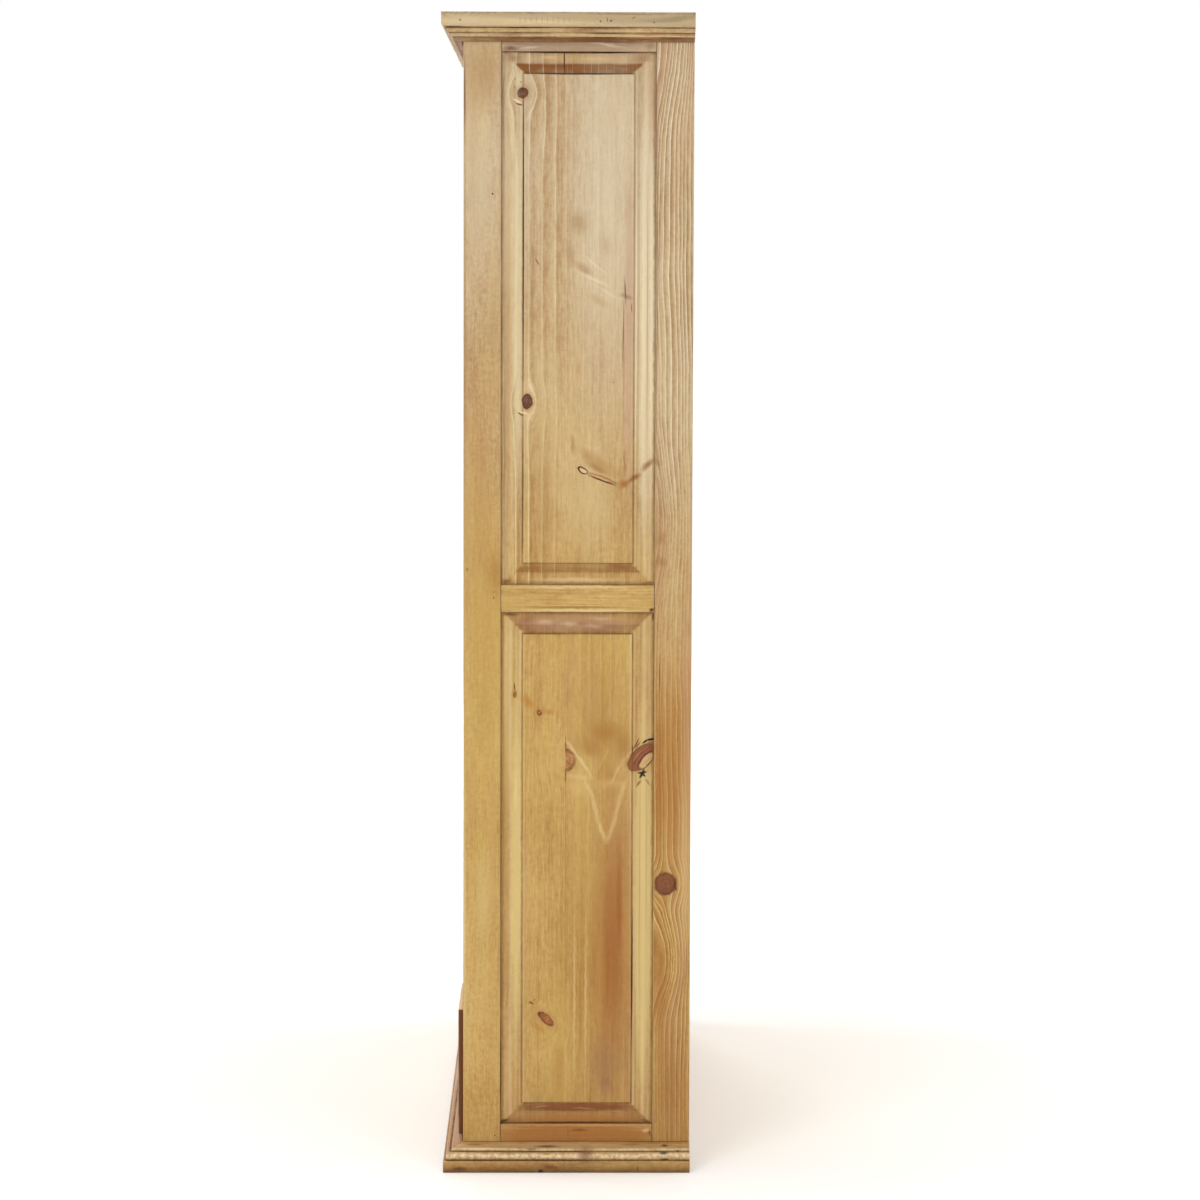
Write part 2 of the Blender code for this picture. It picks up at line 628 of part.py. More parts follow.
def make_drawer(side, label):
    """A lipped drawer: its empty lies on the slide's line, at the middle of the front."""
    x_near = DIVIDER_WIDTH / 2
    x_far = inner_half
    box_near = x_near + DRAWER_SIDE_CLEARANCE
    box_far = x_far - DRAWER_SIDE_CLEARANCE
    z_low = opening_low + SEAT_GAP
    z_side = z_low + DRAWER_SIDE_HEIGHT
    lip_back = front - DRAWER_LIP_CLEARANCE
    lip_front = lip_back - DRAWER_LIP_THICKNESS
    y_side = lip_back + SEAT_GAP
    y_end = back_boards_front - DRAWER_END_ROOM
    slide = make_empty(
        f"drawer_{label}_slide", (side * (x_near + x_far) / 2, lip_front, z_low), carcass
    )

    def box_of(near, far, y_low, y_high, low, high):
        ends = sorted((side * near, side * far))
        return (ends[0], y_low, low), (ends[1], y_high, high)

    lip_top = opening_high + DRAWER_LIP_OVERLAP
    drawer_front = board(
        f"drawer_front_{label}",
        *box_of(
            x_near - DRAWER_LIP_OVERLAP, x_far + DRAWER_LIP_OVERLAP, lip_front, lip_back,
            opening_low - DRAWER_LIP_OVERLAP, lip_top,
        ),
        drawer_pine, slide,
    )
    inside_near = box_near + DRAWER_SIDE_THICKNESS + SEAT_GAP
    inside_far = box_far - DRAWER_SIDE_THICKNESS - SEAT_GAP
    front_inside = lip_back + DRAWER_FRONT_DEPTH
    add_box(
        drawer_front, "inner_part",
        *box_of(
            inside_near, inside_far, lip_back - DRAWER_LIP_THICKNESS / 2, front_inside,
            z_low, opening_high - DRAWER_TOP_CLEARANCE,
        ),
    )
    scoop = bpy.data.meshes.new(f"scoop_{label}")
    bm = bmesh.new()
    bmesh.ops.create_cone(
        bm, cap_ends=True, segments=SCOOP_SIDES, radius1=SCOOP_RADIUS, radius2=SCOOP_RADIUS,
        depth=4 * (DRAWER_LIP_THICKNESS + DRAWER_FRONT_DEPTH),
    )
    bm.to_mesh(scoop)
    bm.free()
    scoop_cutter = helper(
        f"scoop_cutter_{label}", scoop,
        (side * (x_near + x_far) / 2, lip_back, lip_top - SCOOP_DEPTH + SCOOP_RADIUS),
    )
    scoop_cutter.rotation_euler.x = math.pi / 2
    combine(drawer_front, scoop_cutter, "DIFFERENCE")

    bottom_low = z_low + DRAWER_BOTTOM_RAISE
    bottom_high = bottom_low + DRAWER_BOTTOM_THICKNESS
    groove_far = inside_far + SEAT_GAP + DRAWER_GROOVE_DEPTH
    groove_near = inside_near - SEAT_GAP - DRAWER_GROOVE_DEPTH
    past = DRAWER_GROOVE_DEPTH
    cut_box(
        drawer_front, "bottom_groove",
        *box_of(
            inside_near - past, inside_far + past,
            front_inside - DRAWER_GROOVE_DEPTH, front_inside + past,
            bottom_low - SEAT_GAP, bottom_high + SEAT_GAP,
        ),
    )
    for place, outer, inner, groove in (
        ("outer", box_far, box_far - DRAWER_SIDE_THICKNESS, groove_far),
        ("inner", box_near, box_near + DRAWER_SIDE_THICKNESS, groove_near),
    ):
        drawer_side = board(
            f"drawer_side_{label}_{place}", *box_of(outer, inner, y_side, y_end, z_low, z_side),
            drawer_pine, slide,
        )
        past_inside = inner + (inner - groove)
        cut_box(
            drawer_side, "bottom_groove",
            *box_of(
                groove, past_inside, y_side - past, y_end + past,
                bottom_low - SEAT_GAP, bottom_high + SEAT_GAP,
            ),
        )
    board(
        f"drawer_back_{label}",
        *box_of(
            inside_near, inside_far, y_end - DRAWER_BACK_THICKNESS, y_end,
            bottom_high + SEAT_GAP, z_side - DRAWER_BACK_DROP,
        ),
        drawer_pine, slide,
    )
    board(
        f"drawer_bottom_{label}",
        *box_of(
            groove_near + SEAT_GAP, groove_far - SEAT_GAP,
            front_inside - DRAWER_GROOVE_DEPTH + SEAT_GAP, y_end, bottom_low, bottom_high,
        ),
        drawer_pine, slide, eased=False,
    )


make_drawer(-1, "left")
make_drawer(1, "right")
bpy.context.view_layer.update()
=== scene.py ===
import functools
import json
import math
import random

import bmesh
import bpy
from mathutils import Matrix, Vector

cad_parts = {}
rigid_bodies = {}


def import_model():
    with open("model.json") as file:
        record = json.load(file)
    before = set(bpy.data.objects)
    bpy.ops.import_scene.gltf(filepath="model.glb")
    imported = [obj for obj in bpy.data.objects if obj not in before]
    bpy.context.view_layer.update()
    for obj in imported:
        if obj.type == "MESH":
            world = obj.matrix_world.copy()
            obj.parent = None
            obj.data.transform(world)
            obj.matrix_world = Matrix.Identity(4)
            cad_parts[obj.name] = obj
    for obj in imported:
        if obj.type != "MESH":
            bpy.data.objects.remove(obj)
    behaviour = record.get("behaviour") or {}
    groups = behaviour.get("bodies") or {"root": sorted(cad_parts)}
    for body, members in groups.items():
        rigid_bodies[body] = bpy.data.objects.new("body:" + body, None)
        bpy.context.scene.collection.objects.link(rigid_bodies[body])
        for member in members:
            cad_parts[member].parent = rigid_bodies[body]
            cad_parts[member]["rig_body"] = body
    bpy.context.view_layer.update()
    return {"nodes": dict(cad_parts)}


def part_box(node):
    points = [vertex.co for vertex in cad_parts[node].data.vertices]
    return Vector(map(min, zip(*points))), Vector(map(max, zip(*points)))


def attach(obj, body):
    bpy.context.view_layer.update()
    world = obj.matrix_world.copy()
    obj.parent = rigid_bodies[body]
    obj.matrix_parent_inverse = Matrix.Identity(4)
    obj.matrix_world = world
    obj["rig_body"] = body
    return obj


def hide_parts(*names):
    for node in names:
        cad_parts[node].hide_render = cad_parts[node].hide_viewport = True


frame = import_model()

scene = bpy.context.scene
scene.view_settings.view_transform = "Standard"
print("frame loaded:", len(frame["nodes"]), "boards")


def hexColour(text):  # sRGB hex to linear
    shares = [int(text[i:i + 2], 16) / 255 for i in (1, 3, 5)]
    return [s / 12.92 if s <= 0.04045 else ((s + 0.055) / 1.055) ** 2.4 for s in shares] + [1]


def add(tree, kind, links=None, out=0, stops=None, **settings):
    made = tree.nodes.new("ShaderNode" + kind)
    for name, value in settings.items():
        setattr(made, name, value)
    for socket, value in (links or {}).items():
        if isinstance(value, bpy.types.NodeSocket):
            tree.links.new(value, made.inputs[socket])
        else:
            made.inputs[socket].default_value = value
    if stops:  # colour ramp of hex text, or of plain numbers that its Alpha socket gives out
        ramp = made.color_ramp.elements
        shades = [(p, hexColour(c) if isinstance(c, str) else (c, c, c, c)) for p, c in stops]
        ramp[0].position, ramp[0].color = shades[0]
        ramp[1].position, ramp[1].color = shades[-1]
        for place, shade in shades[1:-1]:
            ramp.new(place).color = shade
    return made.outputs[out]


# settings that many nodes share
times, timesPlus, plus, minus, lowest, highest, length = ({"operation": word} for word in (
    "MULTIPLY", "MULTIPLY_ADD", "ADD", "SUBTRACT", "MINIMUM", "MAXIMUM", "LENGTH"))
length["out"] = "Value"
over = {"out": 2, "data_type": "RGBA"}  # one colour laid over another
soft, softer = ({"interpolation_type": word} for word in ("SMOOTHSTEP", "SMOOTHERSTEP"))

# knotty pine, planed, wiped with honey stain and waxed: soft spring wood drinks the stain and
# goes tan, the hard summer lines stay cream, knots turn red brown and stain gathers in corners
pineShades = {
    "honey": [(0, "#7e4d1c"), (0.25, "#a97a3c"), (0.5, "#c49e5b"), (0.75, "#d6b574"), (1, "#ecd49c")],
    "beige": [(0, "#8c6845"), (0.25, "#b4926a"), (0.5, "#ccb592"), (0.75, "#dbc9a8"), (1, "#efe3ca")],
    "cream": "#ecd6aa",
    "gold": "#cfb060",
    "dirt": "#6e4d33",
    "foot": "#9c6530",
    "knotRim": "#3a1b0c",
    "knotHalo": "#b07e48",
}
# a knot bends the rings within spread radii; halo, body and rim are how strongly its parts are coloured
plainKnot = {"tilt": 0, "push": 0.9, "spread": 4.5, "halo": 0.4, "body": 1, "rim": 0.75,
             "light": "#9a6a48", "colour": "#6b4230", "dark": "#3a1b0c"}
# knots strewn through a board: chance and radius in metres, how far and how hard they push the rings
strewn = {"chance": 0.4, "smallest": 0.0002, "largest": 0.013, "spread": 4.5, "push": 0.85}

# one year's growth across a face: stained spring wood, then the pale hard line
fineRings = [(0, 0.36), (0.08, 0.22), (0.45, 0.44), (0.85, 0.58), (0.9, 0.95), (0.935, 0.95), (0.975, 0.4),
             (1, 0.36)]
wideRings = [(0, 0.3), (0.06, 0.2), (0.45, 0.44), (0.8, 0.6), (0.88, 1), (0.95, 1), (1, 0.3)]


def pine(name, look):
    shades = pineShades
    material = bpy.data.materials.new(name)
    material.use_nodes = True
    tree = material.node_tree
    tree.nodes.clear()
    put = functools.partial(add, tree)

    def noise(vector, scale, detail, out=0, **more):  # patterns per metre across, deep and along
        at = put("Mapping", {"Vector": vector, "Scale": scale})
        return put("TexNoise", {"Vector": at, "Scale": 1, "Detail": detail, **more}, out=out)

    spot = put("TexCoord", out="Object")
    grain, lowGap, highGap = (put("Attribute", attribute_name=layer, out="Vector")
                              for layer in ("grain", "lowGap", "highGap"))  # grain: across, deep, along, m
    tone, endGrain = (put("Attribute", attribute_name=layer, out="Fac") for layer in ("tone", "endGrain"))

    # the trunk sways over 450 mm and ripples over 90 mm
    sway = noise(grain, (9, 9, 2.2), 2, "Color")
    ripple = noise(grain, (70, 70, 11), 1, "Color")
    bent = put("VectorMath", {0: sway, 1: (look["sway"], look["sway"], 0), 2: grain}, **timesPlus)
    bent = put("VectorMath", {0: ripple, 1: (look["ripple"], look["ripple"], 0), 2: bent}, **timesPlus)

    # outlines of knots and stains wander by 2 mm, those of cracks and nail holes by less
    lump = put("TexNoise", {"Vector": spot, "Scale": 85, "Detail": 2}, out="Color")
    lump = put("VectorMath", {0: lump, 1: (0.5, 0.5, 0.5)}, **minus)
    face, crisp = (put("VectorMath", {0: lump, 1: (0, by, by), 2: spot}, **timesPlus)
                   for by in (0.005, 0.0008))

    knots = []  # distance from the middle in knot radii, and its dictionary
    for knot in look["knots"]:
        knot = {**plainKnot, **knot}
        middle, half = ([v / 1000 for v in knot[key]] for key in ("at", "half"))
        reach = put("Mapping", {"Vector": face, "Location": (0, *middle), "Scale": (1000, *half),
                                "Rotation": (math.radians(knot["tilt"]), 0, 0)}, vector_type="TEXTURE")
        distance = put("VectorMath", {0: reach}, **length)
        push = put("MapRange", {0: distance, 1: 0, 2: knot["spread"], 3: knot["push"], 4: 0}, **softer)
        aside = put("VectorMath", {0: spot, 1: (0, *middle)}, **minus)
        aside = put("SeparateXYZ", {0: aside}, out="Y")
        aside = put("Math", {0: aside, 1: push}, **times)
        bent = put("VectorMath", {0: bent, 1: put("CombineXYZ", {0: aside})}, **minus)
        knots.append((distance, knot))
    if look["wild"]:
        cell = look["wild"]
        cellAt = put("Mapping", {"Vector": grain, "Scale": [1 / side for side in cell]})
        heart, chance = (put("TexVoronoi", {"Vector": cellAt, "Scale": 1}, out=part)
                         for part in ("Position", "Color"))
        away = put("VectorMath", {0: cellAt, 1: heart}, **minus)
        away = put("VectorMath", {0: away, 1: cell}, **times)
        away = put("VectorMath", {0: lump, 1: (0.005, 0.005, 0.005), 2: away}, **timesPlus)
        size = put("MapRange", {0: put("SeparateColor", {0: chance}), 1: strewn["chance"], 2: 1,
                                3: strewn["smallest"], 4: strewn["largest"]})
        distance = put("VectorMath", {0: away}, **length)
        distance = put("Math", {0: distance, 1: size}, operation="DIVIDE")
        push = put("MapRange", {0: distance, 1: 0, 2: strewn["spread"], 3: strewn["push"], 4: 0}, **softer)
        away = put("VectorMath", {0: away, "Scale": push}, operation="SCALE")
        bent = put("VectorMath", {0: bent, 1: away}, **minus)
        knots.append((distance, plainKnot))

    # growth rings round the pith, no two the same width
    flat = put("VectorMath", {0: bent, 1: (1, 1, 0)}, **times)
    radius = put("VectorMath", {0: flat}, **length)
    wander = put("TexNoise", {"W": put("Math", {0: radius, 1: 45}, **times), "Scale": 1, "Detail": 1},
                 noise_dimensions="1D")
    boards = [look, {**plainBoard, **look["seam"]}] if "seam" in look else [look]
    rings = []
    for board in boards:  # one board, or two glued edge to edge
        years = put("Math", {0: wander, 1: board["uneven"], 2: board["start"]}, **timesPlus)
        phase = put("Math", {0: radius, 1: 1 / board["ring"], 2: years}, **timesPlus)
        rings.append(put("ValToRGB", {0: put("Math", {0: phase}, operation="FRACT")}, out="Alpha",
                         stops=look["ringStops"]))
    ring, strength = rings[0], look["figure"]
    if "seam" in look:
        other = look["seam"]
        beyond = put("MapRange", {0: put("SeparateXYZ", {0: spot}, out="Y"), 1: other["at"] - other["blend"],
                                  2: other["at"] + other["blend"]})
        ring = put("Mix", {0: beyond, 2: rings[0], 3: rings[1]})
        strength = put("Mix", {0: beyond, 2: look["figure"], 3: other["figure"]})
    paleLine = put("MapRange", {0: ring, 1: 0.6, 2: 1, 3: 0, 4: 1})

    # rings fade in and out along the board
    fade = put("MapRange", {0: noise(grain, (14, 14, 1.6), 2), 1: 0.32, 2: 0.68, 3: 0.25, 4: 1.2})
    fade = put("Math", {0: fade, 1: strength}, **times)

    # fibres: real ones are 0.05 mm, drawn 3 mm wide and 25 mm long so that they show
    fibre = noise(bent, (330, 330, 38), 4, Roughness=0.62)
    streak = noise(bent, (75, 75, 1.6), 3)
    blotch = noise(grain, (11, 11, 4), 3)
    mottle = put("TexNoise", {"Vector": spot, "Scale": 150, "Detail": 5, "Roughness": 0.65})

    level = 0.5 - 0.5 * (look["fibre"] + look["streak"] + look["blotch"] + look["mottle"])
    shade = put("Math", {0: put("Math", {0: ring, 1: 0.5}, **minus), 1: fade, 2: level}, **timesPlus)
    for pattern, amount in ((fibre, look["fibre"]), (streak, look["streak"]), (blotch, look["blotch"]),
                            (mottle, look["mottle"]), (tone, 1)):
        shade = put("Math", {0: pattern, 1: amount, 2: shade}, **timesPlus)
    honey, beige = (put("ValToRGB", {0: shade}, stops=shades[key]) for key in ("honey", "beige"))
    height = put("SeparateXYZ", {0: spot}, out="Z")
    greyed = put("MapRange", {0: height, 1: look["greyFrom"], 2: look["greyTo"], 3: 0, 4: 1})
    colour = put("Mix", {0: greyed, 6: honey, 7: beige}, **over)

    # yellower and redder streaks of heartwood
    gold = put("MapRange", {0: noise(grain, (17, 17, 2.6), 3), 1: 0.45, 2: 0.72, 3: 0, 4: look["gold"]})
    colour = put("Mix", {0: gold, 6: colour, 7: hexColour(shades["gold"])}, **over)
    blush = put("MapRange", {0: noise(bent, (24, 24, 1.3), 2), 1: 0.52, 2: 0.75, 3: 0, 4: look["blush"]})
    colour = put("Mix", {0: blush, 6: colour, 7: hexColour(look["blushColour"])}, **over)

    # darker near the floor, greyish smears here and there
    foot = put("MapRange", {0: height, 1: 0.03, 2: 0.17, 3: look["foot"], 4: 0})
    colour = put("Mix", {0: foot, 6: colour, 7: hexColour(shades["foot"])}, **over)
    dirt = put("MapRange", {0: noise(grain, (45, 45, 9), 5, Roughness=0.65), 1: 0.54, 2: 0.74, 3: 0,
                            4: look["dirt"]})
    colour = put("Mix", {0: dirt, 6: colour, 7: hexColour(shades["dirt"])}, **over)

    # how far in from the nearest arris
    gaps = put("VectorMath", {0: lowGap, 1: highGap}, **lowest)
    gapX, gapY, gapZ = (put("SeparateXYZ", {0: gaps}, out=axis) for axis in "XYZ")
    patchy = put("TexNoise", {"Vector": spot, "Scale": 38, "Detail": 3})
    panel = look["panel"]
    if panel:
        inset = put("Math", {0: gapY, 1: gapZ}, **lowest)
        inset = put("Math", {0: inset, 1: 20}, **times)  # 0 to 1 over 50 mm
        glaze = put("ValToRGB", {0: inset}, out="Alpha", stops=panel["glaze"])
        stain = put("ValToRGB", {0: inset}, out="Alpha", stops=panel["endStain"])
        endWay = put("Math", {0: gapY, 1: gapZ}, **minus)  # inside the mitre lines
        endWay = put("MapRange", {0: endWay, 1: 0, 2: 0.005, 3: 0, 4: 1})
        stain = put("Math", {0: stain, 1: endWay}, **times)
        upper = put("VectorMath", {0: lowGap, 1: highGap}, **minus)
        upper = put("MapRange", {0: put("SeparateXYZ", {0: upper}, out="Z"), 1: -0.01, 2: 0.01,
                                 3: look["lowStain"], 4: 1})  # the lower bevel takes less
        stain = put("Math", {0: stain, 1: upper}, **times)
        glaze = put("Math", {0: glaze, 1: endGrain}, **times)  # endGrain is 1 on a panel's outside
        stain = put("Math", {0: stain, 1: endGrain}, **times)
        wear = put("ValToRGB", {0: inset}, out="Alpha", stops=panel["wear"])
        sides = put("Math", {0: endGrain, 1: endWay}, **minus)
        wear = put("Math", {0: wear, 1: sides}, use_clamp=True, **times)
    else:
        inner = put("Math", {0: put("Math", {0: gapX, 1: gapY}, **highest), 1: gapZ}, **lowest)
        arris = put("Math", {0: put("Math", {0: gapX, 1: gapY}, **lowest), 1: inner}, **highest)
        glaze = put("MapRange", {0: arris, 1: 0.0006, 2: 0.003, 3: look["edgeGlaze"], 4: 0})
        glaze = put("Math", {0: glaze, 1: put("Attribute", attribute_name="glaze", out="Fac")},
                    use_clamp=True, **plus)
        wear = put("MapRange", {0: arris, 1: 0.0004, 2: 0.0016, 3: look["edgeWear"], 4: 0})
        # mouldings bring real wear and painted highlights on their bead crests in one attribute
        wear = put("Math", {0: wear, 1: put("Attribute", attribute_name="wearAndHighlight", out="Fac")}, **highest)
        stain = endGrain
    stainLeft = put("MapRange", {0: paleLine, 1: 0, 2: 1, 3: 1, 4: look["paleEnds"]})
    stain = put("Math", {0: stain, 1: stainLeft}, **times)  # hard lines take less stain
    uneven = put("MapRange", {0: patchy, 1: 0.36, 2: 0.62, 3: look["patchy"], 4: 1.1})
    stain = put("Math", {0: stain, 1: uneven}, use_clamp=True, **times)
    colour = put("Mix", {0: stain, 6: colour, 7: hexColour(look["endColour"])}, **over)
    broken = put("TexNoise", {"Vector": spot, "Scale": 15, "Detail": 4, "Roughness": 0.6})  # every 65 mm
    breakup = put("MapRange", {0: broken, 1: 0.38, 2: 0.62, 3: 0.4, 4: 1})
    glaze = put("Math", {0: glaze, 1: breakup}, use_clamp=True, **times)
    colour = put("Mix", {0: glaze, 6: colour, 7: hexColour(look["glazeColour"])}, **over)
    # cream over worn arrises, and over moulding bead crests as a painted highlight
    rubbedAndHighlight = put("MapRange", {0: mottle if look["speckled"] else streak, 1: 0.4, 2: 0.6, 3: 0.35, 4: 1})
    rubbedAndHighlight = put("Math", {0: wear, 1: rubbedAndHighlight}, **times)
    rubbedAndHighlight = put("Math", {0: rubbedAndHighlight, 1: look["rub"]}, **times)
    colour = put("Mix", {0: rubbedAndHighlight, 6: colour, 7: hexColour(shades["cream"])}, **over)

    relief = shade
    for distance, knot in knots:
        halo = put("MapRange", {0: distance, 1: 0.9, 2: 2.4, 3: knot["halo"], 4: 0}, **soft)
        body = put("MapRange", {0: distance, 1: 0.94, 2: 1.06, 3: knot["body"], 4: 0}, **soft)
        rim = put("Math", {0: put("Math", {0: distance, 1: 1}, **minus)}, operation="ABSOLUTE")
        rim = put("MapRange", {0: rim, 1: 0, 2: 0.16, 3: knot["rim"], 4: 0})
        chipped = put("MapRange", {0: mottle, 1: 0.4, 2: 0.6, 3: 0.35, 4: 1})
        rim = put("Math", {0: rim, 1: chipped}, **times)
        if "seam" in knot:  # cut off where the next board starts
            halo, body, rim = (put("Math", {0: mask, 1: beyond}, **times) for mask in (halo, body, rim))
        core = put("Math", {0: put("Math", {0: distance, 1: 17}, **times)}, operation="SINE")  # its own rings
        core = put("Math", {0: core, 1: 0.05, 2: mottle}, **timesPlus)
        core = put("Math", {0: distance, 1: 0.22, 2: core}, **timesPlus)
        wood = put("ValToRGB", {0: core}, stops=[(0.35, knot["light"]), (0.6, knot["colour"]),
                                                 (0.9, knot["dark"])])
        colour = put("Mix", {0: halo, 6: colour, 7: hexColour(shades["knotHalo"])}, **over)
        colour = put("Mix", {0: body, 6: colour, 7: wood}, **over)
        colour = put("Mix", {0: rim, 6: colour, 7: hexColour(shades["knotRim"])}, **over)
        relief = put("Math", {0: body, 1: 0.5, 2: relief}, **timesPlus)

    for paint, *ovals in look["marks"]:
        cover = 0  # ovals of one colour share a layer, so their overlaps don't add up
        for oval in ovals:
            y, z, wide, tall = (v / 1000 for v in oval[:4])
            strength, solid, turn = (*oval[4:], 0, 0)[:3]
            thin = min(wide, tall) < 0.0025  # cracks and nail holes keep a clean outline
            reach = put("VectorRotate", {"Vector": crisp if thin else face, "Center": (0, y, z),
                                         "Angle": -math.radians(turn)}, rotation_type="X_AXIS")
            reach = put("VectorMath", {0: reach, 1: (0, 1 / wide, 1 / tall), 2: (0, -y / wide, -z / tall)},
                        **timesPlus)
            distance = put("VectorMath", {0: reach}, **length)
            mask = put("MapRange", {0: distance, 1: solid, 2: 1, 3: strength, 4: 0}, **soft)
            cover = put("Math", {0: cover, 1: mask}, **highest)
        colour = put("Mix", {0: cover, 6: colour, 7: hexColour(paint)}, **over)

    # pale hard lines drawn up the board through points (Z, Y)
    across, up = (put("SeparateXYZ", {0: face}, out=axis) for axis in "YZ")
    for wide, paint, strength, points in look["strokes"]:
        low, high = points[0][0], points[-1][0]
        share = put("MapRange", {0: up, 1: low / 1000, 2: high / 1000})
        line = put("ValToRGB", {0: share}, out="Alpha",
                   stops=[((z - low) / (high - low), 1 + y / 1000) for z, y in points])
        off = put("Math", {0: line, 1: put("Math", {0: across, 1: 1}, **plus)}, **minus)
        off = put("Math", {0: off}, operation="ABSOLUTE")
        mask = put("MapRange", {0: off, 1: wide / 5000, 2: wide / 1000, 3: strength, 4: 0}, **soft)
        ends = put("ValToRGB", {0: share}, out="Alpha", stops=[(0, 0), (0.12, 1), (0.85, 1), (1, 0)])
        mask = put("Math", {0: mask, 1: ends}, **times)
        thinned = put("MapRange", {0: patchy, 1: 0.35, 2: 0.6, 3: 0.35, 4: 1.1})
        mask = put("Math", {0: mask, 1: thinned}, **times)
        colour = put("Mix", {0: mask, 6: colour, 7: hexColour(paint)}, **over)

    # waxed: soft sheen, duller where stain sits and along the fibres
    gloss = put("MapRange", {0: fibre, 1: 0.3, 2: 0.7, 3: 0.46, 4: 0.6})
    rough = put("Math", {0: glaze, 1: 0.15, 2: gloss}, **timesPlus)
    bump = put("Bump", {"Strength": 0.35, "Distance": 0.0008, "Height": relief})
    shader = put("BsdfPrincipled", {"Base Color": colour, "Roughness": rough, "Normal": bump, "IOR": 1.5,
                                    "Specular IOR Level": 0.25})
    tree.links.new(shader, tree.nodes.new("ShaderNodeOutputMaterial").inputs["Surface"])
    return material


# honey turns beige between the heights greyFrom and greyTo; lengths are in metres, the rest are shares
plainBoard = {"ring": 0.0075, "ringStops": wideRings, "uneven": 1.4, "start": 0, "figure": 0.45,
              "sway": 0.016, "ripple": 0.0022, "fibre": 0.58, "streak": 0.34, "blotch": 0.5, "mottle": 0.36,
              "blush": 0.4, "gold": 0.4, "dirt": 0.2, "foot": 0.5, "edgeGlaze": 0.22,
              "edgeWear": 0.55, "rub": 1, "speckled": False, "greyFrom": 0.9, "greyTo": 1.6, "lowStain": 1,
              "paleEnds": 0.35, "patchy": 0.6, "endColour": "#744219", "blushColour": "#b98a66",
              "glazeColour": "#52290c", "panel": None, "wild": None, "knots": [], "marks": [], "strokes": []}
panelEdges = {  # share of 50 mm in from the opening's edge
    "glaze": [(0, 0.55), (0.016, 0.5), (0.032, 0.16), (0.08, 0.05), (0.18, 0), (0.4, 0.03), (0.435, 0.2),
              (0.46, 0.06), (0.64, 0.05), (0.68, 0.42), (0.706, 0.48), (0.722, 0.12), (0.76, 0.02), (1, 0)],
    "endStain": [(0, 0.5), (0.06, 0.28), (0.22, 0.14), (0.34, 0.28), (0.39, 0.9), (0.42, 1.4), (0.47, 1.3),
                 (0.53, 1.15), (0.6, 1.05), (0.66, 1), (0.69, 1.1), (0.71, 0.03), (1, 0)],
    "wear": [(0, 0), (0.06, 0), (0.136, 0.4), (0.22, 0.15), (0.326, 0.4), (0.41, 0), (0.5, 0.2),
             (0.55, 0), (0.625, 0.55), (0.66, 0), (0.71, 0), (0.735, 0.3), (0.78, 0), (1, 0)],
}
darkEnds = {**panelEdges, "endStain": [(0, 0.7), (0.05, 0.5), (0.28, 0.4), (0.39, 0.5), (0.42, 0.75),
                                       (0.6, 0.65), (0.69, 0.75), (0.71, 0.03), (1, 0)]}
softEnds = {"endColour": "#86521f", "lowStain": 0.45, "patchy": 0.75, "paleEnds": 0.45}
moulded = {**plainBoard, "edgeGlaze": 0.2, "figure": 0.35, "dirt": 0.55, "streak": 0.6, "mottle": 0.5,
           "speckled": True}
knotRoom = (0.11, 0.055, 0.34)  # one strewn knot at most in such a block of wood, metres
panelKnots = (0.1, 0.024, 0.24)
finishes = {
    "pine_frame": pine("pineFrame", {**plainBoard, "wild": knotRoom}),
    "pine_panel": pine("pinePanel", {**plainBoard, **softEnds, "panel": panelEdges, "wild": panelKnots}),
    "pine_moulding": pine("pineMoulding", moulded),
    "pine_shelf": pine("pineShelf", {**plainBoard, "wild": knotRoom}),
    "pine_back": pine("pineBack", {**plainBoard, "wild": knotRoom, "edgeGlaze": 0.5, "edgeWear": 0.2}),
    "pine_drawer": pine("pineDrawer", {**plainBoard, "wild": knotRoom, "paleEnds": 0.9,
                                       "endColour": "#6a3f1e"}),
}

